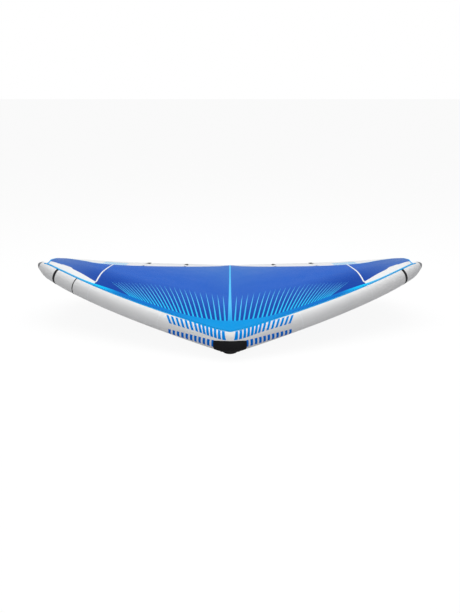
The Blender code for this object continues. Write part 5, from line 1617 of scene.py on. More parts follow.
    def hatch(self, side: Side) -> Piece:
        """Slanted printed lines on the rear panel before the tip, and a line along its edge."""
        low, high = self.hatch_places
        middle = np.linspace(low, high, self.hatch_lines)[:, None, None]
        share = np.linspace(*self.hatch_shares, self.hatch_rows)[None, :, None]
        half = self.hatch_width / 2.0 / self.shape.tube.half_line
        places = (middle + self.hatch_lean * share
                  + (np.linspace(-1.0, 1.0, 3) * half)[None, None, :])
        start = self.shape.band_start(places)
        backs = start + (1.0 - start) * share
        lifts = self.over_cloth(self.film_lift, self.film_thick)
        uv = self.chart(places, backs) * np.array([1.0, 0.0])
        layers = [self.shape.lifted(places * side.value, backs, lift) for lift in lifts]
        book = MeshBook().slabs(*layers, uv)
        edge = self.columns(self.edge_line_start, self.shape.side_end)
        start = self.shape.band_start(edge)
        backs = start + (self.edge_line_width / self.shape.chord(edge)
                         * even(self.edge_rows)[:, None])
        edge = np.broadcast_to(edge, backs.shape)
        layers = [self.shape.lifted(edge * side.value, np.minimum(backs, 1.0), lift)
                  for lift in lifts]
        book.slab(*layers, self.chart(edge, backs) * np.array([1.0, 0.0]))
        return self.piece(book, f"rear_hatch_{side.word}", "ray", "cyan_tape")

    def binding(self, side: Side) -> Piece:
        """The cyan binding round the canopy's outer corner: along its side and its rear edge."""
        end = self.shape.side_end
        lifts = [self.cloth + self.film_lift * 2.0 + self.film_thick * count
                 for count in (1.0, 3.0)]
        wide = self.binding_width / self.shape.tube.half_line
        across = end - wide * (1.0 - eased(self.edge_rows)[None, :])
        rear = self.columns(self.binding_start, end - wide * self.binding_room)
        ends = 1.0 - (self.binding_width / self.shape.chord(rear)
                      * (1.0 - eased(self.edge_rows)[:, None]))
        book = MeshBook()
        for places, backs in ((across, self.rows(-1.0, 1.0, self.binding_rows)), (rear, ends)):
            places, backs = np.broadcast_arrays(places, backs)
            book.slab(*[self.shape.lifted(places * side.value, backs, lift) for lift in lifts],
                      self.chart(places, backs))
        return self.piece(book, f"corner_binding_{side.word}", "piping", "cyan_tape")

    def along_pocket(self, number: int, share: Array, across: Array) -> tuple[Array, Array]:
        """Places and back values of points beside a batten's middle line.

        Args:
            number: 0 for the inner batten, 1 for the outer one.
            share: Shares of the pocket's depth, a column.
            across: Distances from the line in metres, a row.

        Returns:
            Places and back values, rows by columns.
        """
        place = self.batten_places[number] + across / self.shape.tube.half_line
        start = 1.0 - self.pocket_depths[number] / self.shape.chord(place)
        return np.broadcast_arrays(place, start + (1.0 - start) * share)

    def pocket(self, number: int, side: Side) -> Piece:
        """A sewn batten pocket: flat feet and a rounded roof, by a smooth step across it."""
        reach = np.linspace(-1.0, 1.0, self.pocket_columns)[None, :]
        across = reach * self.pocket_foot
        share = np.linspace(*self.pocket_shares, self.pocket_rows)[:, None]
        places, backs = self.along_pocket(number, share, across)
        wide = 1.0 - smooth_step((np.abs(across) - self.pocket_inside) / (3.0 * self.pocket_wall))
        low = self.cloth + self.pocket_floor + (self.pocket_room - self.pocket_floor) * wide
        lifts = [np.broadcast_to(lift, places.shape) for lift in (low, low + self.pocket_wall)]
        return self.piece(self.layer(places, backs, lifts, side.value),
                          f"pocket_{number + 1}_{side.word}", "white", "white_ripstop",
                          f"batten_pocket_{number + 1}_{side.word}")

    def batten(self, number: int, side: Side) -> Piece:
        """The flat batten inside a pocket, with rounded ends and a crowned top."""
        length = self.pocket_depths[number]
        first, last = self.batten_shares
        inner = self.batten_end / length
        round_rows, rows, _ = self.batten_counts
        ends = inner * (1.0 - np.cos(np.linspace(0.0, math.pi / 2.0, round_rows)[1:]))
        share = np.concatenate([first + ends[:-1], np.linspace(first + inner, last - inner, rows),
                                (last - ends[:-1])[::-1]])[:, None]
        past = np.maximum(np.maximum(first + inner - share, share - last + inner) / inner, 0.0)
        reach = edge_to_edge(self.batten_counts[2])[None, :]
        across = reach * self.batten_half * crown(past, 2, 0.0)
        places, backs = self.along_pocket(number, share, across)
        low = np.full(places.shape, self.cloth + self.pocket_floor + self.batten_lift)
        high = low + self.batten_thick * (1.0 - self.batten_crown_share
                                           * reach ** self.batten_power)
        return self.piece(self.layer(places, backs, (low, high), side.value),
                          f"batten_strip_{number + 1}_{side.word}", "carbon", "carbon_batten",
                          f"batten_{number + 1}_{side.word}")

    def pocket_tab(self, number: int, side: Side) -> Piece:
        """The black pull tab sewn over a pocket's rear part."""
        reach = edge_to_edge(self.tab_points)[None, :]
        share = np.linspace(*self.tab_shares[number], self.tab_points)[:, None]
        places, backs = self.along_pocket(number, share, reach * self.tab_half)
        wide = 1.0 - smooth_step((np.abs(reach) * self.tab_half - self.pocket_inside)
                                 / self.pocket_foot)
        low = self.cloth + 2.0 * self.pocket_floor + (self.pocket_room + self.pocket_wall) * wide
        low = np.broadcast_to(low, places.shape)
        lifts = (low, low + self.tab_thick * crown(reach, self.tab_power, self.tab_least_share))
        return self.piece(self.layer(places, backs, lifts, side.value),
                          f"pocket_tab_{number + 1}_{side.word}", "webbing", "black_webbing")

    def build(self) -> None:
        """Every piece of the canopy."""
        for side in Side:
            for make in (self.panels, self.rays, self.arc_tape, self.hem, self.hatch, self.binding):
                make(side)
            for number in range(len(self.batten_places)):
                for make in (self.batten, self.pocket, self.pocket_tab):
                    make(number, side)
        self.band()
        self.stripe()


@dataclass(frozen=True)
class Seat:
    """Where a fitting sits: its origin in the wing's frame, its X direction and its Z direction."""

    origin: Triple
    along: Triple
    out: Triple

    def frame(self) -> Matrix:
        """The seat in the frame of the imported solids."""
        return frame_of(np.array(self.origin) + np.array(TubeLine().origin), self.along, self.out)


def sweep_map(rings: Array) -> Array:
    """The map of closed rings: distance round the widest one and along their middles."""
    loops = np.concatenate([rings, rings[:, :1]], axis=1)
    lengths = np.linalg.norm(np.diff(loops, axis=1), axis=-1)
    widest = lengths[lengths.sum(axis=1).argmax()]
    steps = np.linalg.norm(np.diff(rings.mean(axis=1), axis=0), axis=-1)
    return metre_map(np.concatenate([[0.0], np.cumsum(widest)]),
                     np.concatenate([[0.0], np.cumsum(steps)]))


def swept(path: Array, side: Array, up: Array, profile: Array, wide: Array, tall: Array) -> Array:
    """A profile carried along a path: path + side times its width + up times its height.

    Args:
        path: Points of the path.
        side: Side directions at them.
        up: Up directions at them.
        profile: Pairs of the profile at half size one.
        wide: Half width at each point.
        tall: Half height at each point.

    Returns:
        Rings, one a point.
    """
    across = (profile[None, :, :1] * wide[:, None, None]) * side[:, None]
    return path[:, None] + across + (profile[None, :, 1:] * tall[:, None, None]) * up[:, None]


def quarter(radius: float, count: int = 4) -> tuple[Array, Array]:
    """How far a rounded edge is drawn in and up: two sides of a quarter circle."""
    turns = np.linspace(0.0, math.pi / 2.0, count)
    return radius * (1.0 - np.sin(turns)), radius * (1.0 - np.cos(turns))


def bar_rings(low: Triple, high: Triple, radius: float,
              ) -> Array:
    """Rings of a bar with round edges: a rounded rectangle drawn in by a quarter circle.

    Args:
        low: Its lowest corner.
        high: Its highest corner.
        radius: Radius of its edges.

    Returns:
        Rings from its lowest to its highest Z.
    """
    inset, level = quarter(radius)
    insets = np.concatenate([inset, inset[::-1]])
    levels = np.concatenate([low[2] + level, (high[2] - level)[::-1]])
    rows = []
    for drawn, height in zip(insets, levels):
        x_low, y_low = low[0] + drawn, low[1] + drawn
        x_high, y_high = high[0] - drawn, high[1] - drawn
        outline = rounded_profile([(x_low, y_low), (x_high, y_low), (x_high, y_high),
                                   (x_low, y_high)], radius, closed=True)
        rows.append(np.column_stack([outline, np.full(len(outline), height)]))
    return np.stack(rows)


def spool_rings(radius: float, low: float, high: float, edge: float, segments: int = 28) -> Array:
    """Rings of a round bar along X with round edges."""
    drawn, along = quarter(edge)
    profile = np.column_stack([radius - np.concatenate([drawn, drawn[::-1]]),
                               np.concatenate([low + along, (high - along)[::-1]])])
    return turned_rings(profile, segments)[..., [2, 0, 1]]


def add_stitches(points: Array, out: Array, radius: float) -> MeshBook:
    """A stitch between each point of a line and the next: a six-sided spindle.

    Args:
        points: Points of the line.
        out: Outward directions at them.
        radius: Half thickness of the thread.

    Returns:
        The book of the seam.
    """
    book = MeshBook()
    shares = np.array(STITCH_SHARES)
    round_it = circle(STITCH_SIDES)
    middles, half = (points[:-1] + points[1:]) / 2.0, (points[1:] - points[:-1]) * STITCH_HALF_SHARE
    side = unit(np.cross(out[:-1], half))
    thick = radius * crown(shares, STITCH_POWER, STITCH_LEAST_SHARE)
    for middle, reach, across, up in zip(middles, half, side, unit(out[:-1])):
        turn = np.cos(round_it)[:, None] * across + np.sin(round_it)[:, None] * up
        book.loft(middle + shares[:, None, None] * reach + thick[:, None, None] * turn)
    return book


def border(low: Pair, high: Pair, counts: tuple[int, int],
           ) -> tuple[Array, Array]:
    """Even points round a rectangle of two numbers, its first corner again at the end."""
    first = np.linspace(low[0], high[0], counts[0])
    second = np.linspace(low[1], high[1], counts[1])
    along = np.concatenate([first, np.full(counts[1] - 1, high[0]), first[-2::-1],
                            np.full(counts[1] - 1, low[0])])
    across = np.concatenate([np.full(counts[0], low[1]), second[1:],
                             np.full(counts[0] - 1, high[1]), second[-2::-1]])
    return along, across


@dataclass(frozen=True)
class StrutLine:
    """The line and the radius of the inflated strut under the middle of the canopy."""

    shape: CanopyShape = CanopyShape()
    front: float = 0.030
    rear: float = 2.120
    radii: Pair = (0.082, 0.046)
    gap: float = 0.5 * MM
    line_points: int = 400
    search_end: float = 0.260
    search_step: float = 0.001
    search_place: float = 0.09
    search_points: int = 61

    def radius(self, depth: Array) -> Array:
        """Radius: a straight taper from front to rear."""
        share = (depth - self.front) / (self.rear - self.front)
        return self.radii[0] + (self.radii[1] - self.radii[0]) * share

    def top(self, depth: Array) -> Array:
        """Height of the strut's top, a gap under the canopy's middle line."""
        backs = np.linspace(0.0, 1.0, self.line_points)
        line = self.shape.sheet(np.zeros_like(backs), backs) - np.array(self.shape.tube.origin)
        return np.interp(depth, line[:, 1], line[:, 2]) - self.gap

    def skin(self, depth: Array, angle: Array, lift: Array | float = 0.0) -> Array:
        """A point of the skin; the angle runs from its top round the right side, in radians."""
        depth, angle = np.broadcast_arrays(np.asarray(depth, float), np.asarray(angle, float))
        reach = self.radius(depth) + lift
        height = self.top(depth) - self.radius(depth) + reach * np.cos(angle)
        point = np.stack([reach * np.sin(angle), depth, height], axis=-1)
        return point + np.array(self.shape.tube.origin)

    def sheet(self, depths: Array, turns: Array, lift: float, thick: Array) -> MeshBook:
        """A sheet on the skin, from a lift over it up to a thickness that may vary."""
        depths, turns = np.broadcast_arrays(depths, turns)
        uv = np.stack([turns * self.radii[0], depths], axis=-1)
        low, high = self.skin(depths, turns, lift), self.skin(depths, turns, lift + thick)
        return MeshBook().slab(low, high, uv)

    def tape(self, ends: Pair, turn: float, half: float, step: float, lift: float, thick: float,
             ) -> MeshBook:
        """A tape along the strut, its edges rounded off.

        Args:
            ends: Depths of its ends.
            turn: Angle of its middle line.
            half: Half width.
            step: Largest distance between its rows.
            lift: Lift over the skin.
            thick: Thickness in the middle.

        Returns:
            The book of the tape.
        """
        depths, shares = spread(*ends, step)[:, None], edge_to_edge(TAPE_POINTS)[None, :]
        turns = turn + shares * half / self.radius(depths)
        return self.sheet(depths, turns, lift, thick * crown(shares, TAPE_POWER))

    def first_depths(self, angles: Array, lift: float) -> Array:
        """Depth where each line of the skin leaves the leading edge.

        Args:
            angles: Angles round the strut.
            lift: Lift of the lines over its skin.

        Returns:
            Depths at which the distance to the tube's skin passes the gap, between two rows.
        """
        tube = self.shape.tube
        depths = spread(self.front, self.search_end, self.search_step)
        points = self.skin(depths[:, None], angles[None, :], lift)
        places = np.linspace(-self.search_place, self.search_place, self.search_points)
        away = np.linalg.norm(points[:, :, None] - tube.middle(places), axis=-1)
        away = (away - tube.radius(places)).min(axis=-1) - self.gap
        last = len(depths) - 2 - np.argmax((away < 0.0)[-2::-1], axis=0)
        column = np.arange(len(angles))
        near, far = away[last, column], away[last + 1, column]
        share = np.clip(-near / (far - near), 0.0, 1.0)
        return depths[last] + (depths[last + 1] - depths[last]) * share


@dataclass
class Strut(Assembly):
    """The inflated strut: sleeve, seam tapes, bladder and rear cap; the zip on its side is built by
    the Zip class.
    """

    line: StrutLine = field(default_factory=StrutLine)
    wall: float = 1.2 * MM
    sectors: int = 72
    rows: int = 190
    pucker_depth: float = 1.6 * MM
    pucker_reach: float = 0.030
    pucker_waves: Pair = (17.0, 29.0)
    pucker_shares: Triple = (0.5, 0.28, 0.22)
    rear_pucker_share: float = 0.7
    inner_rows: int = 40
    row_ease_share: float = 0.6
    bladder_least_share: float = 0.02
    bladder_ends: Pair = (0.126, 2.085)
    bladder_inset: float = 4.0 * MM
    bladder_round: float = 0.030
    cap_length: float = 22 * MM
    cap_rows: tuple[int, int, int] = (16, 15, 13)
    cap_powers: tuple[int, float] = (4, 0.4)
    round_sectors: tuple[int, int] = (40, 48)
    bladder_rows: int = 60
    seam_turn: float = 64.0 * DEGREE
    keel_turn: float = 150.0 * DEGREE
    seam_width: float = 13 * MM
    seam_lift: float = 0.1 * MM
    seam_thick: float = 0.5 * MM
    seam_start: float = 0.150
    rear_band: float = 20 * MM

    def sleeve(self) -> Piece:
        """The sleeve, cut in front where it meets the leading edge, gathered at both ends."""
        turns = circle(self.sectors)
        first = self.line.first_depths(turns, 0.0)
        depths = first + (self.line.rear - first) * eased(self.rows, self.row_ease_share)[:, None]
        (slow, fast), (level, low, high) = self.pucker_waves, self.pucker_shares
        waves = level + low * np.sin(slow * turns) + high * np.sin(fast * turns + 1.0)
        near = np.exp(-(depths - first) / self.pucker_reach)
        near = near + self.rear_pucker_share * np.exp(-(self.line.rear - depths)
                                                      / self.pucker_reach)
        outer = self.line.skin(depths, turns[None, :], -self.pucker_depth * near * waves)
        inside = self.line.first_depths(turns, -self.wall)
        depths = inside + (self.line.rear - inside) * even(self.inner_rows)[:, None]
        inner = self.line.skin(depths, turns[None, :], -self.wall - self.pucker_depth)
        return self.piece(MeshBook().shell(outer, inner), "strut_cloth", "sleeve", "white_dacron",
                          "strut_sleeve")

    def rear_tape(self) -> Piece:
        """The black binding round the strut's rear end."""
        shares = eased(TAPE_POINTS)
        depths = (self.line.rear - self.rear_band * shares[::-1])[:, None]
        rounded = crown(2.0 * shares - 1.0, TAPE_POWER)[:, None]
        top = (self.line.gap - self.seam_lift) * rounded
        outer, inner = [self.line.skin(depths, circle(self.sectors)[None, :], lift)
                        for lift in (self.seam_lift + top, self.seam_lift)]
        return self.piece(MeshBook().shell(outer, inner), "strut_rear_binding", "webbing",
                          "black_webbing")

    def bladder(self) -> Piece:
        """The air bladder of the strut, with rounded ends."""
        low, high = self.bladder_ends
        depths = low + (high - low) * eased(self.bladder_rows)
        near = np.minimum(depths - low, high - depths) / self.bladder_round
        radius = self.line.radius(depths)
        full = crown(1.0 - np.minimum(near, 1.0), 2, self.bladder_least_share)
        lift = (radius - self.bladder_inset) * full - radius
        turns = circle(self.round_sectors[0])[None, :]
        rings = self.line.skin(depths[:, None], turns, lift[:, None])
        return self.piece(MeshBook().loft(rings), "strut_air_bladder", "film", "bladder_tpu",
                          "strut_bladder")

    def cap(self) -> Piece:
        """The rubber end cap: a superellipse turned round the strut's line."""
        count, outside, inside = self.cap_rows
        share = np.sin(np.linspace(0.0, math.pi / 2.0, count))
        power, root = self.cap_powers
        full = np.clip(1.0 - share ** power, 0.0, 1.0) ** root
        rear, turns = self.line.rear, circle(self.round_sectors[1])
        radius = float(self.line.radius(np.array(rear)))
        rows = []
        for thick, stop in ((0.0, outside), (self.wall, inside)):
            reach = (radius - thick) * full[:stop]
            rings = self.line.skin(np.full((stop, len(turns)), rear), turns[None, :],
                                   (reach - radius)[:, None])
            rings[..., 1] += self.line.gap + share[:stop, None] * (self.cap_length - thick)
            rows.append(rings)
        return self.piece(MeshBook().shell(*rows, closed_end=True), "strut_end_cap", "rubber",
                          "black_rubber", "strut_rear_cap")

    def build(self) -> None:
        """Every piece of the strut but its zip."""
        self.sleeve()
        ends = (self.seam_start, self.line.rear - self.rear_band)
        seams = [(f"strut_seam_{side.word}", side.value * self.seam_turn) for side in Side]
        for name, turn in (*seams, ("strut_keel_seam", self.keel_turn)):
            tape = self.line.tape(ends, turn, self.seam_width / 2.0, self.seam_width,
                                  self.seam_lift, self.seam_thick)
            self.piece(tape, name, "tape", "white_dacron")
        self.rear_tape()
        self.bladder()
        self.cap()


@dataclass
class Handle(Assembly):
    """A handle that swings on two knuckles: sewn tabs, a webbing strap and mostly a foam grip.

    Its sizes are the front handle's, and the classes after it change what differs.
    """

    name: str = "front_handle"
    body: str = "front_handle"
    strap_node: str = "front_handle_strap"
    seat: Seat = Seat((0.0, 0.94023, 0.0297), (0.0, 0.99912, 0.04202), (0.0, 0.04202, -0.99912))
    depth: float = 0.940
    half: float = 0.130
    drop: float = 0.078
    width: float = 0.028
    grip: float = 0.0165
    sunk: float = 0.0016
    straight_share: float = 0.60
    drop_power: float = 2.08
    width_power: float = 3.2
    end_width_share: float = 0.34
    knuckle_radius: float = 5.0 * MM
    knuckle_length: float = 9.0 * MM
    run: float = 0.5 * MM
    tab_length: float = 6.0 * MM
    thick: float = 3.0 * MM
    edge: float = 0.8 * MM
    rivet_radius: float = 2.8 * MM
    rivet_height: float = 0.9 * MM
    grip_share: float = 0.58
    slot_gap: float = 0.5 * MM
    groove_pitch: float = 12 * MM
    groove_share: float = 0.035
    end_share: float = 0.86
    end_drop_share: float = 0.28
    bowl_share: float = 0.0
    path_points: int = 801
    strap_points: int = 150
    corner_share: float = 0.25
    tab_turns: int = 17
    tab_end_shares: Triple = (0.88, 0.97, 1.0)
    tab_level_shares: Triple = (0.0, 0.06, 0.16)
    foam_counts: tuple[int, int] = (120, 48)
    foam_ease: float = 0.5
    end_power: float = 2.6
    seam_share: float = 0.05
    seam_turn: float = 0.07
    groove_power: int = 16
    groove_end_share: float = 0.2
    inner_step: int = 4
    slot_power: float = 0.3
    fill: float = 0.9

    def hang(self, away: Array) -> tuple[Array, Array]:
        """How far into an end's curve a place lies, from 0 to 1, and how deep the strap hangs."""
        curve = np.clip((away - self.straight_share) / (1.0 - self.straight_share), 0.0, 1.0)
        return curve, self.drop * (1.0 - curve ** self.drop_power)

    def path(self) -> tuple[Array, Array]:
        """Points of the strap at even distances, and how far into an end's curve each lies."""
        turn = np.linspace(-1.0, 1.0, self.path_points)
        curve, depth = self.hang(np.abs(turn))
        line = np.column_stack([turn * self.half, np.zeros_like(turn), depth])
        length = np.concatenate([[0.0], np.cumsum(np.linalg.norm(np.diff(line, axis=0), axis=1))])
        steps = np.linspace(0.0, length[-1], self.strap_points)
        points = np.column_stack([np.interp(steps, length, line[:, axis]) for axis in range(3)])
        return points, np.interp(steps, length, curve)

    def strap(self) -> Piece:
        """Knuckles and the strap: a rounded band that narrows into each knuckle."""
        frame = self.seat.frame()
        points, curve = self.path()
        along = unit(np.gradient(points, axis=0))
        side = np.broadcast_to(np.array([0.0, 1.0, 0.0]), along.shape)
        narrow = 1.0 - (1.0 - self.end_width_share) * curve ** self.width_power
        profile = rounded_profile([(-1.0, -1.0), (1.0, -1.0), (1.0, 1.0), (-1.0, 1.0)],
                                  self.corner_share, closed=True)
        book = MeshBook().solid(swept(points, side, np.cross(side, along), profile,
                                      narrow * self.width / 2.0,
                                      np.full(len(points), self.thick / 2.0)), frame)
        reach = self.knuckle_length / 2.0
        for middle in (-self.half, self.half):
            book.solid(spool_rings(self.knuckle_radius, middle - reach, middle + reach, self.edge),
                       frame)
        return self.piece(book, f"{self.name}_webbing", "webbing", "black_webbing",
                          self.strap_node, body=self.body)

    def tabs(self) -> Piece:
        """The four-sided tabs outside the knuckles, round below, with a rivet in each."""
        frame = self.seat.frame()
        turns = np.linspace(0.0, math.pi, self.tab_turns)
        radius, top = self.knuckle_radius, self.knuckle_radius + self.run + self.sunk
        outline = np.concatenate([np.column_stack([radius * np.cos(turns), radius * np.sin(turns)]),
                                  [(-radius, -top / 2.0), (-radius, -top), (radius, -top),
                                   (radius, -top / 2.0)]])
        start = self.half + self.knuckle_length / 2.0 + self.run
        shares = np.array([*self.tab_end_shares, *self.tab_end_shares[::-1]])
        near = np.array(self.tab_level_shares)
        levels = np.concatenate([near, 1.0 - near[::-1]]) * self.tab_length + start
        outside = start + self.tab_length
        book = MeshBook()
        for sign in (-1.0, 1.0):
            book.solid(np.stack([np.column_stack([np.full(len(outline), sign * level),
                                                  outline * share])
                                 for level, share in zip(levels, shares)]), frame)
            head = spool_rings(self.rivet_radius, outside - self.rivet_height,
                               outside + self.rivet_height, self.rivet_height)
            head[..., 0] *= sign
            book.solid(head, frame)
        return self.piece(book, f"{self.name}_tabs", "webbing", "black_webbing")

    def foam(self) -> Piece:
        """The foam grip round the strap: ribbed rings of an ellipse with a slot inside."""
        frame = self.seat.frame()
        reach = self.half * self.grip_share
        rows, columns = self.foam_counts
        along = edge_to_edge(rows, self.foam_ease) * reach
        depth = self.hang(np.abs(along) / self.half)[1][:, None]
        past = np.clip((np.abs(along) / reach - self.end_share) / (1.0 - self.end_share), 0.0, 1.0)
        size = (1.0 - self.end_drop_share * past ** self.end_power) * (
            1.0 - self.bowl_share * (along / reach) ** 2)
        size = (size * (1.0 - self.groove_share * np.cos(math.pi * along / self.groove_pitch)
                        ** self.groove_power * (past < self.groove_end_share)))[:, None]
        turns = circle(columns)
        seam = 1.0 - self.seam_share * np.exp(
            -(np.minimum(turns, FULL_TURN - turns) / self.seam_turn) ** 2)
        inside = self.width / 2.0 + self.slot_gap
        wide = max(inside, self.grip) + self.slot_gap
        cosine, sine = [np.sign(wave) * np.abs(wave) ** self.slot_power
                        for wave in (np.cos(turns), np.sin(turns))]
        outer = np.stack(np.broadcast_arrays(along[:, None], size * seam * wide * np.sin(turns),
                                             depth - size * seam * self.grip * np.cos(turns)), -1)
        inner = np.stack(np.broadcast_arrays(
            along[::self.inner_step, None], inside * sine,
            depth[::self.inner_step] - (self.thick / 2.0 + self.slot_gap) * cosine), -1)
        inner[0, :, 0], inner[-1, :, 0] = -reach, reach
        book = MeshBook().shell(placed(outer, frame), placed(inner, frame), sweep_map(outer),
                                sweep_map(inner))
        made = self.piece(book, f"{self.name}_foam", "foam", "black_foam", f"{self.name}_grip",
                          body=self.body)
        return made

    def build(self) -> None:
        """Strap, tabs and grip."""
        self.strap()
        self.tabs()
        if self.grip:
            self.foam()


@dataclass
class RearHandle(Handle):
    """The rear handle, as the front one but further back."""

    name: str = "rear_handle"
    body: str = "rear_handle"
    strap_node: str = "rear_handle_strap"
    seat: Seat = Seat((0.0, 1.45023, 0.05114), (0.0, 0.99912, 0.04202), (0.0, 0.04202, -0.99912))
    depth: float = 1.450


@dataclass
class LeashLoop(Handle):
    """The short bare loop for the leash."""

    name: str = "leash_loop"
    body: str = "leash"
    strap_node: str = "leash_loop"
    seat: Seat = Seat((0.0, 0.56043, 0.0097), (0.0, 0.99693, 0.07834), (0.0, 0.07834, -0.99693))
    depth: float = 0.560
    half: float = 0.024
    drop: float = 0.036
    width: float = 0.016
    grip: float = 0.0


@dataclass
class NoseHandle(Handle):
    """The small round grip under the nose, slimmer towards its ends."""

    name: str = "nose_handle"
    body: str = "nose_handle"
    strap_node: str = "nose_handle_strap"
    seat: Seat = Seat((0.0, 0.01314, -0.10781), (1.0, 0.0, 0.0), (0.0, 0.0, -1.0))
    half: float = 0.072
    drop: float = 0.0155
    width: float = 0.019
    sunk: float = 0.0046
    grip: float = 0.0100
    straight_share: float = 0.0
    drop_power: float = 2.2
    width_power: float = 2.0
    end_width_share: float = 0.36
    grip_share: float = 0.78
    bowl_share: float = 0.42


@dataclass
class Patches(Assembly):
    """Webbing patches under the strut and the nose pad, with their stitches."""

    tube: TubeLine = field(default_factory=TubeLine)
    line: StrutLine = field(default_factory=StrutLine)
    lay_gap: float = 0.3 * MM
    patch_thick: float = 2.4 * MM
    patch_turns: Pair = (160.0 * DEGREE, 200.0 * DEGREE)
    overrun: float = 0.026
    stitch_pitch: float = 5.0 * MM
    stitch_inset: float = 4.0 * MM
    thread: float = 0.35 * MM
    pad_reach: float = 0.059
    pad_top: Pair = (77.0 * DEGREE, 87.0 * DEGREE)
    pad_bottom: float = 220.0 * DEGREE
    pad_thick: float = 4.0 * MM
    pad_rim: float = 2.3 * MM
    rim_width: float = 7 * MM
    rim_edge: float = 1.5 * MM
    swell: float = 0.024
    channel: float = 3.0 * MM
    channel_shares: Pair = (0.36, 0.68)
    place_metres: float = 2.05

    patch_counts: tuple[int, int] = (60, 13)
    patch_ease_share: float = 0.5
    patch_powers: tuple[int, int] = (10, 60)
    patch_least_share: float = 0.05
    pad_points: int = 121
    rim_least_share: float = 0.02
    fill: float = 0.7
    groove_shares: Pair = (0.45, 0.8)

    def patch(self, handle: Handle) -> None:
        """The patch under the strut that a handle is sewn to, and the stitches round its edge."""
        reach = handle.half + self.overrun
        rows, columns = self.patch_counts
        across = edge_to_edge(columns)[None, :]
        depths = handle.depth + edge_to_edge(rows, self.patch_ease_share)[:, None] * reach
        low, high = self.patch_turns
        turns = (low + high) / 2.0 + across * (high - low) / 2.0
        along = np.abs(depths - handle.depth) / reach
        aside, ahead = self.patch_powers
        rounded = np.sqrt(np.clip(1.0 - across ** aside, self.patch_least_share, 1.0)
                          * np.clip(1.0 - along ** ahead, self.patch_least_share, 1.0))
        book = self.line.sheet(depths, turns, self.lay_gap, self.patch_thick * rounded)
        self.piece(book, f"{handle.name}_base", "webbing", "black_webbing", f"{handle.name}_patch")
        radius = float(self.line.radius(np.array(handle.depth)))
        drawn, reach = self.stitch_inset / radius, reach - self.stitch_inset
        counts = (int(2.0 * (handle.half + self.overrun) / self.stitch_pitch),
                  int((high - low) * radius / self.stitch_pitch))
        depths, turns = border((handle.depth - reach, low + drawn),
                               (handle.depth + reach, high - drawn), counts)
        points = self.line.skin(depths, turns, self.lay_gap + self.patch_thick)
        book = add_stitches(points, points - self.line.skin(depths, turns, 0.0), self.thread)
        self.piece(book, f"{handle.name}_stitches", "thread", "black_webbing")

    def pad_grid(self, across: Array, down: Array) -> tuple[Array, Array]:
        """Places and angles of the nose pad from two numbers, -1 to 1 and 0 to 1."""
        top = self.pad_top[0] + (self.pad_top[1] - self.pad_top[0]) * across ** 2
        return across * self.pad_reach, top + (self.pad_bottom - top) * down

    def pad_height(self, across: Array, down: Array) -> Array:
        """Thickness of the pad: a flat rim, a sewn groove, a swollen middle and two channels."""
        tall = (self.pad_bottom - self.pad_top[0]) * self.tube.nose_radius
        aside = (1.0 - np.abs(across)) * self.pad_reach * self.place_metres
        away = np.minimum(aside, np.minimum(down, 1.0 - down) * tall)
        rim = self.pad_rim * np.sqrt(np.clip(away / self.rim_edge, self.rim_least_share, 1.0))
        risen = smooth_step((away - self.rim_width) / self.swell)
        swollen = (self.pad_thick - self.pad_rim) * risen
        groove = np.exp(-((away - self.rim_width) / self.rim_edge) ** 2)
        for share in self.channel_shares:
            line = np.exp(-((down - share) * tall / self.channel) ** 2)
            groove = np.maximum(groove, line * (away > self.rim_width))
        first, second = self.groove_shares
        return rim * (1.0 - first * groove) + swollen * (1.0 - second * groove)

    def nose_pad(self) -> None:
        """The padded panel round the nose, with its rim and its stitches."""
        across = np.linspace(-1.0, 1.0, self.pad_points)[None, :]
        down = even(self.pad_points)[:, None]
        places, turns = np.broadcast_arrays(*self.pad_grid(across, down))
        uv = np.stack([places * self.place_metres, turns * self.tube.nose_radius], axis=-1)
        lifts = (self.lay_gap, self.lay_gap + self.pad_height(across, down))
        book = MeshBook().slab(*[self.tube.skin(places, turns, lift) for lift in lifts], uv)
        self.piece(book, "nose_padding", "pad", "black_foam", "nose_pad")
        wide = self.pad_reach * self.place_metres
        tall = (self.pad_bottom - self.pad_top[0]) * self.tube.nose_radius
        side, inset = 1.0 - self.stitch_inset / wide, self.stitch_inset / tall
        across, down = border((-side, inset), (side, 1.0 - inset),
                              (int(2.0 * wide / self.stitch_pitch), int(tall / self.stitch_pitch)))
        places, turns = self.pad_grid(across, down)
        points = self.tube.skin(places, turns, self.lay_gap + self.pad_height(across, down))
        book = add_stitches(points, points - self.tube.skin(places, turns, 0.0), self.thread)
        self.piece(book, "nose_pad_stitches", "dark_thread", "black_webbing")


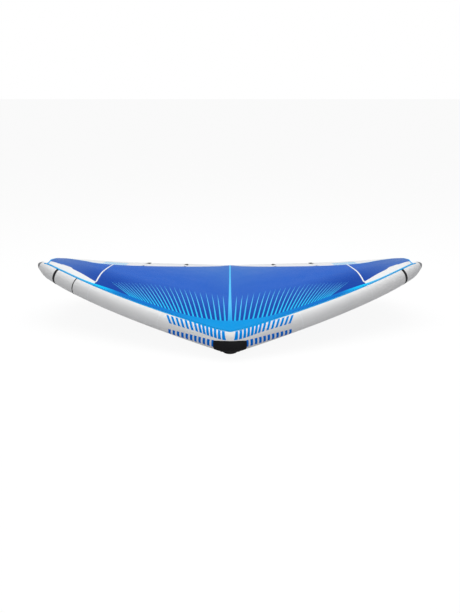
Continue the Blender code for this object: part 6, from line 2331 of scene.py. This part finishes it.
@dataclass
class InflationValve(Assembly):
    """The inflation valve: flanged body with hinge lugs, and the cap that turns on them."""

    seat: Seat = Seat((0.41061, 0.27998, 0.04096), (0.29631, -0.22869, -0.92731),
                      (-0.39348, 0.85546, -0.3367))
    flange_radius: float = 30 * MM
    flange_thick: float = 3 * MM
    body_radius: float = 19 * MM
    neck: float = 12 * MM
    depth: float = 20 * MM
    hole_radius: float = 16.5 * MM
    hole_room: float = 8 * MM
    bore: float = 14.5 * MM
    seat_bore: float = 9 * MM
    seat_thick: float = 3 * MM
    lip_bore: float = 6 * MM
    lip_thick: float = 2.5 * MM
    round_edge: float = 1.0 * MM
    bulge: float = 1.2 * MM
    tube_radius: float = 0.100
    bend_start: float = 17 * MM
    bend_reach: float = 6 * MM
    cap_radius: float = 20.5 * MM
    cap_level: float = 14.5 * MM
    cap_thick: float = 4 * MM
    cap_dish: float = 0.8 * MM
    knurl_count: int = 30
    knurl_share: float = 0.012
    reach: float = 31.5 * MM
    arm_width: float = 7.6 * MM
    arm_thick: float = 3 * MM
    arm_start: float = 17 * MM
    knuckle: float = 2.6 * MM
    lug_low: Triple = (24.5 * MM, 4.3 * MM, 1.4 * MM)
    lug_high: Triple = (34.5 * MM, 7.8 * MM, 17.5 * MM)
    hole_sectors: int = 48
    body_sectors: int = 72
    cap_sectors: int = 120
    cap_shares: tuple[float, ...] = (0.25, 0.82, 0.76, 0.9)

    def pierce(self, *names: str) -> None:
        """Cuts the hole that the body sits in, by a Boolean difference that is applied at once.

        Args:
            names: The sleeve panel and the bladder under the valve.
        """
        rings = spool_rings(self.hole_radius, -self.depth - self.hole_room, self.flange_thick,
                            self.round_edge, self.hole_sectors)[..., [1, 2, 0]]
        book = MeshBook().solid(rings, self.seat.frame())
        cutter = book.build("valve_hole", self.shelf["sleeve"])
        for name in names:
            made = bpy.data.objects[name]
            cut = made.modifiers.new("valve_hole", "BOOLEAN")
            cut.operation, cut.solver, cut.object = "DIFFERENCE", "EXACT", cutter
            graph = bpy.context.evaluated_depsgraph_get()
            mesh = bpy.data.meshes.new_from_object(made.evaluated_get(graph))
            made.modifiers.clear()
            made.data = mesh
            LOG.info("%s: %d faces with its hole", made.name, len(mesh.polygons))
        bpy.data.objects.remove(cutter)

    def body(self) -> Piece:
        """The body: a rounded profile turned round Z, its flange bent to the tube's skin."""
        bore, seat, lip, wide = self.bore, self.seat_bore, self.lip_bore, self.body_radius
        shelf = self.lip_thick - self.depth
        corners = [(self.flange_radius, 0.0), (self.flange_radius, self.flange_thick),
                   (wide, self.flange_thick + self.round_edge), (wide, self.neck),
                   (bore, self.neck), (bore, 0.0), (seat, 0.0), (seat, -self.seat_thick),
                   (bore, -self.seat_thick), (bore, shelf), (lip, shelf), (lip, -self.depth),
                   (wide, -self.depth), (wide, 0.0)]
        profile = rounded_profile(corners, self.round_edge, closed=True)
        rings = turned_rings(profile, self.body_sectors)
        far = np.clip((np.hypot(rings[..., 0], rings[..., 1]) - self.bend_start) / self.bend_reach,
                      0.0, 1.0)
        rings[..., 2] += far * (self.bulge - rings[..., 0] ** 2 / (2.0 * self.tube_radius))
        frame = self.seat.frame()
        book = MeshBook().collar(rings, frame).lugs(self.lug_low, self.lug_high, self.round_edge,
                                                    frame)
        return self.piece(book, "valve_body", "plastic", "grey_plastic", "inflation_valve_body")

    def cap(self) -> Piece:
        """The cap: a knurled disc with a dished face, its arm and its knuckle."""
        half, edge, radius, frame = (self.cap_thick / 2.0, self.round_edge, self.cap_radius,
                                     self.seat.frame())
        inner, outside, inside, ribbed = [share * radius for share in self.cap_shares]
        profile = rounded_profile([(inner, -half), (radius, -half), (radius, half), (outside, half),
                                   (inside, half - self.cap_dish), (inner, half - self.cap_dish)],
                                  edge)
        rings = turned_rings(profile, self.cap_sectors)
        waves = 0.5 + 0.5 * np.cos(self.knurl_count * circle(self.cap_sectors))
        factor = 1.0 - (profile[:, :1] > ribbed) * self.knurl_share * waves
        rings = np.concatenate([rings[..., :2] * factor[..., None],
                                rings[..., 2:] + self.cap_level], axis=-1)
        wide, thick = self.arm_width / 2.0, self.arm_thick / 2.0
        spool = spool_rings(self.knuckle, -wide, wide, edge / 2.0)[..., [1, 0, 2]]
        book = MeshBook().solid(rings, frame)
        book.solid(bar_rings((self.arm_start, -wide, self.cap_level - thick),
                             (self.reach, wide, self.cap_level + thick), edge), frame)
        book.solid(spool + np.array([self.reach, 0.0, self.cap_level]), frame)
        return self.piece(book, "valve_cover", "plastic", "grey_plastic", "inflation_valve_cap",
                          body="valve_cap")

    def build(self) -> None:
        """The hole, the body and the cap."""
        self.pierce("sleeve_centre", "leading_edge_air_bladder")
        self.body()
        self.cap()


@dataclass
class TransferHose(Assembly):
    """The hose from leading edge to strut, with its two fittings and the pinch clip on it."""

    edge_seat: Seat = Seat((-0.14423, 0.14696, -0.00963), (0.89813, -0.40462, -0.17216),
                           (0.33241, 0.88104, -0.33657))
    strut_seat: Seat = Seat((-0.07164, 0.3135, 0.04433), (0.01581, 0.99203, 0.12501),
                            (-0.93811, 0.05798, -0.34144))
    clip_seat: Seat = Seat((-0.13089, 0.26582, -0.00835), (-0.00499, 0.91166, 0.41092),
                           (-0.51475, 0.34996, -0.78266))
    flange_radius: float = 12 * MM
    flange_thick: float = 2 * MM
    nipple_radius: float = 6 * MM
    nipple_bore: float = 3.5 * MM
    nipple_out: float = 9 * MM
    nipple_in: float = 12 * MM
    bulge: float = 1.2 * MM
    hose_radius: float = 7 * MM
    hose_bore: float = 4.6 * MM
    cuff_radius: float = 8.2 * MM
    cuff_bore: float = 6.3 * MM
    cuff_start: float = 3.6 * MM
    cuff_end: float = 9.3 * MM
    run: float = 14 * MM
    reach: float = 70 * MM
    clip_half: float = 8 * MM
    clip_bore: float = 7.8 * MM
    clip_radius: float = 10.4 * MM
    round_edge: float = 0.8 * MM
    lug_low: Triple = (-3.5 * MM, 5.1 * MM, 7.4 * MM)
    lug_high: Triple = (3.5 * MM, 8.1 * MM, 17.8 * MM)
    lever_axis: float = 14.3 * MM
    lever_length: float = 36 * MM
    lever_half: float = 4.6 * MM
    lever_thick: float = 3 * MM
    lever_knuckle: float = 3 * MM
    rib_start: float = 20 * MM
    rib_pitch: float = 3.6 * MM
    rib_size: float = 0.6 * MM
    ribs: int = 4
    barb_shares: tuple[float, ...] = (0.45, 0.50, 0.72, 0.78)
    sectors: int = 48
    hose_sectors: int = 32
    leg_points: int = 16
    curve_points: int = 90

    def fitting(self, name: str, seat: Seat, node: str) -> None:
        """A flanged nipple turned round Z with two barbs."""
        out, radius, bore, inside = (self.nipple_out, self.nipple_radius, self.nipple_bore,
                                     -self.nipple_in)
        barb = self.round_edge / 2.0
        drawn, full, again, last = [out * share for share in self.barb_shares]
        corners = [(self.flange_radius, -self.bulge), (self.flange_radius, self.flange_thick),
                   (radius + barb, self.flange_thick), (radius - barb, drawn), (radius, full),
                   (radius - barb, again), (radius, last), (radius - barb, out), (bore, out),
                   (bore, inside), (radius, inside), (radius, -self.bulge)]
        profile = rounded_profile(corners, self.round_edge, closed=True)
        book = MeshBook().collar(turned_rings(profile, self.sectors), seat.frame())
        self.piece(book, name, "plastic", "grey_plastic", node)

    def route(self) -> tuple[Array, Array]:
        """Points of the hose's line and the share of a cuff at each.

        Straight out of each fitting, then a cubic Bezier curve between the two runs.
        """
        frames = [np.array(seat.frame()) for seat in (self.edge_seat, self.strut_seat)]
        along = np.linspace(self.cuff_start, self.cuff_end + self.run, self.leg_points)
        legs = [axes[:3, 3] + along[:, None] * axes[:3, 2] for axes in frames]
        cuff = smooth_step((self.cuff_end - along) / self.round_edge + 0.5)
        turn = even(self.curve_points)[1:-1, None]
        start, end = legs[0][-1], legs[1][-1]
        first, last = start + self.reach * frames[0][:3, 2], end + self.reach * frames[1][:3, 2]
        curve = ((1.0 - turn) ** 3 * start + 3.0 * turn * (1.0 - turn) ** 2 * first
                 + 3.0 * turn ** 2 * (1.0 - turn) * last + turn ** 3 * end)
        points = np.concatenate([legs[0], curve, legs[1][::-1]])
        return points, np.concatenate([cuff, np.zeros(len(curve)), cuff[::-1]])

    def hose(self) -> None:
        """The hose: a hollow tube along its line, wider where it grips the nipples."""
        points, cuff = self.route()
        along = unit(np.gradient(points, axis=0))
        side = unit(np.cross(along, np.array([0.0, 0.0, 1.0])))
        turns = circle(self.hose_sectors)
        round_it = np.column_stack([np.cos(turns), np.sin(turns)])
        walls = []
        for thin, wide in ((self.hose_radius, self.cuff_radius), (self.hose_bore, self.cuff_bore)):
            radius = thin + (wide - thin) * cuff
            walls.append(swept(points, side, np.cross(side, along), round_it, radius, radius))
        self.piece(MeshBook().shell(*walls), "transfer_hose", "silicone", "clear_hose", "pump_hose")

    def clip(self) -> None:
        """The pinch clip: a ring round the hose with two lugs, and the lever on them."""
        frame, edge = self.clip_seat.frame(), self.round_edge
        corners = [(self.clip_bore, -self.clip_half), (self.clip_radius, -self.clip_half),
                   (self.clip_radius, self.clip_half), (self.clip_bore, self.clip_half)]
        rings = turned_rings(rounded_profile(corners, edge, closed=True), self.sectors)[
            ..., [2, 0, 1]]
        book = MeshBook().collar(rings, frame).lugs(self.lug_low, self.lug_high, edge, frame)
        self.piece(book, "clip_ring", "plastic", "grey_plastic", "pinch_clip_body")
        axis, half, thick = self.lever_axis, self.lever_half, self.lever_thick / 2.0
        book = MeshBook().solid(bar_rings((0.0, -half, axis - thick),
                                          (self.lever_length, half, axis + thick), edge), frame)
        spool = spool_rings(self.lever_knuckle, -half, half, edge / 2.0)[..., [1, 0, 2]]
        book.solid(spool + np.array([0.0, 0.0, axis]), frame)
        for number in range(self.ribs):
            start = self.rib_start + number * self.rib_pitch
            book.solid(bar_rings((start, -half + edge, axis + thick - self.rib_size),
                                 (start + 2.0 * self.rib_size, half - edge,
                                  axis + thick + self.rib_size), self.rib_size / 2.0), frame)
        self.piece(book, "clip_lever_arm", "rubber", "grey_plastic", "pinch_clip_lever",
                   body="clip_lever")

    def build(self) -> None:
        """Fittings, hose and clip."""
        self.fitting("edge_hose_fitting", self.edge_seat, "hose_fitting_leading_edge")
        self.fitting("strut_hose_fitting", self.strut_seat, "hose_fitting_strut")
        self.hose()
        self.clip()


@dataclass
class Zip(Assembly):
    """The zip on the strut's side: tape, two rows of teeth, slider and pull."""

    line: StrutLine = field(default_factory=StrutLine)
    seat: Seat = Seat((0.06548, 0.7, 0.07442), (-0.01593, 0.9994, 0.03062),
                      (0.93939, 0.02545, -0.34191))
    start: float = 0.700
    length: float = 0.600
    turn: float = 110.0 * DEGREE
    tape_half: float = 8 * MM
    tape_lift: float = 0.1 * MM
    tape_thick: float = 0.5 * MM
    tooth_pitch: float = 3.0 * MM
    tooth_half: float = 2.2 * MM
    tooth_run: float = 1.6 * MM
    tooth_rise: float = 0.7 * MM
    tooth_edge: float = 0.25 * MM
    slider_low: Triple = (10 * MM, -4.5 * MM, 2.0 * MM)
    slider_high: Triple = (24 * MM, 4.5 * MM, 4.3 * MM)
    lug_low: Triple = (14 * MM, -1.4 * MM, 3.9 * MM)
    lug_high: Triple = (20 * MM, 1.4 * MM, 7.7 * MM)
    round_edge: float = 0.6 * MM
    hinge: Pair = (17 * MM, 6.9 * MM)
    arm_inside: float = 1.8 * MM
    arm_outside: float = 3.8 * MM
    fork: float = 6.5 * MM
    pull_end: float = 32 * MM
    pull_thick: float = 1.6 * MM
    pull_knuckle: float = 1.6 * MM
    stagger_share: float = 0.3
    tooth_look: float = 2.0 * MM

    def tape(self) -> None:
        """The tape on the strut's skin and the teeth along its middle."""
        end = self.start + self.length
        book = self.line.tape((self.start, end), self.turn, self.tape_half, self.tape_half,
                              self.tape_lift, self.tape_thick)
        self.piece(book, "zip_tape", "webbing", "black_webbing", "strut_zip_tape")
        book = MeshBook()
        shape = bar_rings((0.0, -self.tooth_half, 0.0), (self.tooth_run, self.tooth_half,
                                                         self.tooth_rise), self.tooth_edge)
        places = np.arange(self.start + self.slider_high[0] + self.tooth_pitch,
                           end - self.tooth_pitch, self.tooth_pitch)
        low, high = [self.line.skin(places, np.full_like(places, self.turn), lift)
                     for lift in (self.tape_lift + self.tape_thick - self.tooth_edge,
                                  self.tooth_look)]
        out, along = unit(high - low), unit(np.gradient(low, axis=0))
        for number, origin in enumerate(low):
            shift = self.tooth_half * self.stagger_share * (1.0 if number % 2 else -1.0)
            book.solid(shape + np.array([0.0, shift, 0.0]),
                       frame_of(origin, along[number], out[number]))
        self.piece(book, "zip_teeth", "metal", "black_webbing")

    def slider(self) -> None:
        """The slider with its lug, and the forked pull that turns on it."""
        frame, edge = self.seat.frame(), self.round_edge
        book = MeshBook().solid(bar_rings(self.slider_low, self.slider_high, edge), frame)
        book.solid(bar_rings(self.lug_low, self.lug_high, edge), frame)
        self.piece(book, "zip_runner", "metal", "grey_plastic", "zip_slider",
                   body="zip_slider_body")
        book = MeshBook()
        x, z = self.hinge
        thick, wide = self.pull_thick / 2.0, self.arm_outside
        for low, high in ((-wide, -self.arm_inside), (self.arm_inside, wide)):
            spool = spool_rings(self.pull_knuckle, low, high, edge / 2.0)[..., [1, 0, 2]]
            book.solid(spool + np.array([x, 0.0, z]), frame)
            book.solid(bar_rings((x, low, z - thick), (x + self.fork + edge, high, z + thick),
                                 edge / 2.0), frame)
        book.solid(bar_rings((x + self.fork, -wide, z - thick),
                             (x + self.pull_end, wide, z + thick), edge), frame)
        self.piece(book, "zip_puller", "metal", "grey_plastic", "zip_pull", body="zip_pull_body")

    def build(self) -> None:
        """Tape, teeth, slider and pull."""
        self.tape()
        self.slider()


def build_fittings(shelf: Shelf) -> None:
    """Strut, handles, patches, valve, hose and zip.

    Args:
        shelf: The finishes by name.
    """
    Strut(shelf).build()
    handles = [kind(shelf) for kind in (NoseHandle, Handle, RearHandle, LeashLoop)]
    for handle in handles:
        handle.build()
    patches = Patches(shelf)
    patches.nose_pad()
    for handle in handles[1:]:
        patches.patch(handle)
    for kind in (InflationValve, TransferHose, Zip):
        kind(shelf).build()


@dataclass
class Studio:
    """White floor and air, soft lamps and the camera of the photograph."""

    floor_half: float = 30.0
    floor_colour: Triple = (0.42, 0.42, 0.43)
    floor_shares: Pair = (0.95, 0.05)
    floor_scale: float = 3.0
    floor_roughness: float = 0.9
    shadow_share: float = 0.08
    sky_strength: float = 0.42
    lens: float = 57.55
    sensor: float = 36.0
    distance: float = 8.5
    drop_angle: float = 16.0 * DEGREE
    rise: float = 0.2906
    overhead_place: Triple = (0.0, 0.4, 5.5)
    lamp_size: float = 6.0
    lamp_power: float = 330.0
    front_place: Triple = (0.0, -6.5, 1.6)
    front_power: float = 115.0

    def floor(self) -> Piece:
        """The floor: white to the camera and in gloss, with a share left to the shadow."""
        book = NodeBook("studio_floor")
        fine = book.noise(book.place(), self.floor_scale, 2.0)
        dark, share = self.floor_shares
        darker = tuple(dark * value for value in self.floor_colour)
        tint = book.blend(fine * share, self.floor_colour, darker)
        book.surface(tint, self.floor_roughness)
        white = book.signal("ShaderNodeEmission", {}, {"Color": WHITE, "Strength": 1.0})
        bright = book.signal("ShaderNodeBsdfDiffuse", {}, {"Color": WHITE})
        paper = book.signal("ShaderNodeMixShader", {}, {0: self.shadow_share, 1: white, 2: bright})
        path = book.node("ShaderNodeLightPath", {}, {})
        seen = [Signal(book, path.outputs[name]) for name in ("Is Camera Ray", "Is Glossy Ray",
                                                              "Is Transmission Ray")]
        book.feed(book.output.inputs["Surface"], book.signal(
            "ShaderNodeMixShader", {}, {0: seen[0].larger(seen[1]).larger(seen[2]),
                                        1: Signal(book, book.shader.outputs[0]), 2: paper}))
        half = self.floor_half
        mesh = bpy.data.meshes.new("studio_floor")
        mesh.from_pydata([(-half, -half, 0.0), (half, -half, 0.0), (half, half, 0.0),
                          (-half, half, 0.0)], [], [(0, 1, 2, 3)])
        mesh.materials.append(book.material)
        made = bpy.data.objects.new("studio_floor", mesh)
        bpy.context.scene.collection.objects.link(made)
        return made

    def sky(self) -> None:
        """Air that is white to the camera and to transmission rays, and an even light on the rest.
        """
        world = bpy.data.worlds.new("studio_air")
        world.use_nodes = True
        tree = world.node_tree
        tree.nodes.clear()
        output = tree.nodes.new("ShaderNodeOutputWorld")
        path = tree.nodes.new("ShaderNodeLightPath")
        lit, seen = tree.nodes.new("ShaderNodeBackground"), tree.nodes.new("ShaderNodeBackground")
        lit.inputs["Strength"].default_value = self.sky_strength
        lit.inputs["Color"].default_value = WHITE
        seen.inputs["Color"].default_value = WHITE
        mix = tree.nodes.new("ShaderNodeMixShader")
        largest = tree.nodes.new("ShaderNodeMath")
        largest.operation = "MAXIMUM"
        tree.links.new(path.outputs["Is Camera Ray"], largest.inputs[0])
        tree.links.new(path.outputs["Is Transmission Ray"], largest.inputs[1])
        tree.links.new(largest.outputs[0], mix.inputs[0])
        tree.links.new(lit.outputs[0], mix.inputs[1])
        tree.links.new(seen.outputs[0], mix.inputs[2])
        tree.links.new(mix.outputs[0], output.inputs["Surface"])
        bpy.context.scene.world = world

    def lamp(self, name: str, place: Triple, size: float, power: float) -> None:
        """A square soft lamp that faces the middle of the wing."""
        data = bpy.data.lights.new(name, "AREA")
        data.shape, data.size, data.energy = "SQUARE", size, power
        made = bpy.data.objects.new(name, data)
        made.location = place
        made.rotation_euler = (-made.location).to_track_quat("-Z", "Y").to_euler()
        bpy.context.scene.collection.objects.link(made)

    def camera(self) -> Piece:
        """The camera at the photograph's angle: it looks along +Y and down."""
        data = bpy.data.cameras.new("photo_camera")
        data.lens, data.sensor_width, data.sensor_fit = self.lens, self.sensor, "AUTO"
        made = bpy.data.objects.new("photo_camera", data)
        cosine, sine = math.cos(self.drop_angle), math.sin(self.drop_angle)
        made.location = np.array(TubeLine().origin) + np.array(
            (0.0, -self.distance * cosine + self.rise * sine,
             self.distance * sine + self.rise * cosine))
        made.rotation_euler = (math.pi / 2.0 - self.drop_angle, 0.0, 0.0)
        bpy.context.scene.collection.objects.link(made)
        bpy.context.scene.camera = made
        return made

    def build(self) -> None:
        """Floor, air, lamps and camera."""
        self.floor()
        self.sky()
        self.lamp("overhead_lamp", self.overhead_place, self.lamp_size, self.lamp_power)
        self.lamp("front_lamp", self.front_place, self.lamp_size, self.front_power)
        self.camera()
        bpy.context.scene.view_settings.view_transform = "Standard"


def dress_kept(nodes: dict, shelf: Shelf) -> None:
    """Gives the valve's plunger, the one solid that stays in view, its rubber.

    Args:
        nodes: The solids by name.
        shelf: The finishes by name.
    """
    for slot in nodes["inflation_valve_plunger"].material_slots:
        slot.material = shelf["rubber"]


def main() -> None:
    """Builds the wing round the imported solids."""
    logging.basicConfig(level=logging.INFO, format="%(name)s %(message)s")
    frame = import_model()
    shelf = Finishes().shelf()
    Studio().build()
    LeadingEdge(shelf).build()
    Canopy(shelf).build()
    build_fittings(shelf)
    dress_kept(frame["nodes"], shelf)
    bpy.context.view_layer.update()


if __name__ == "__main__":
    main()
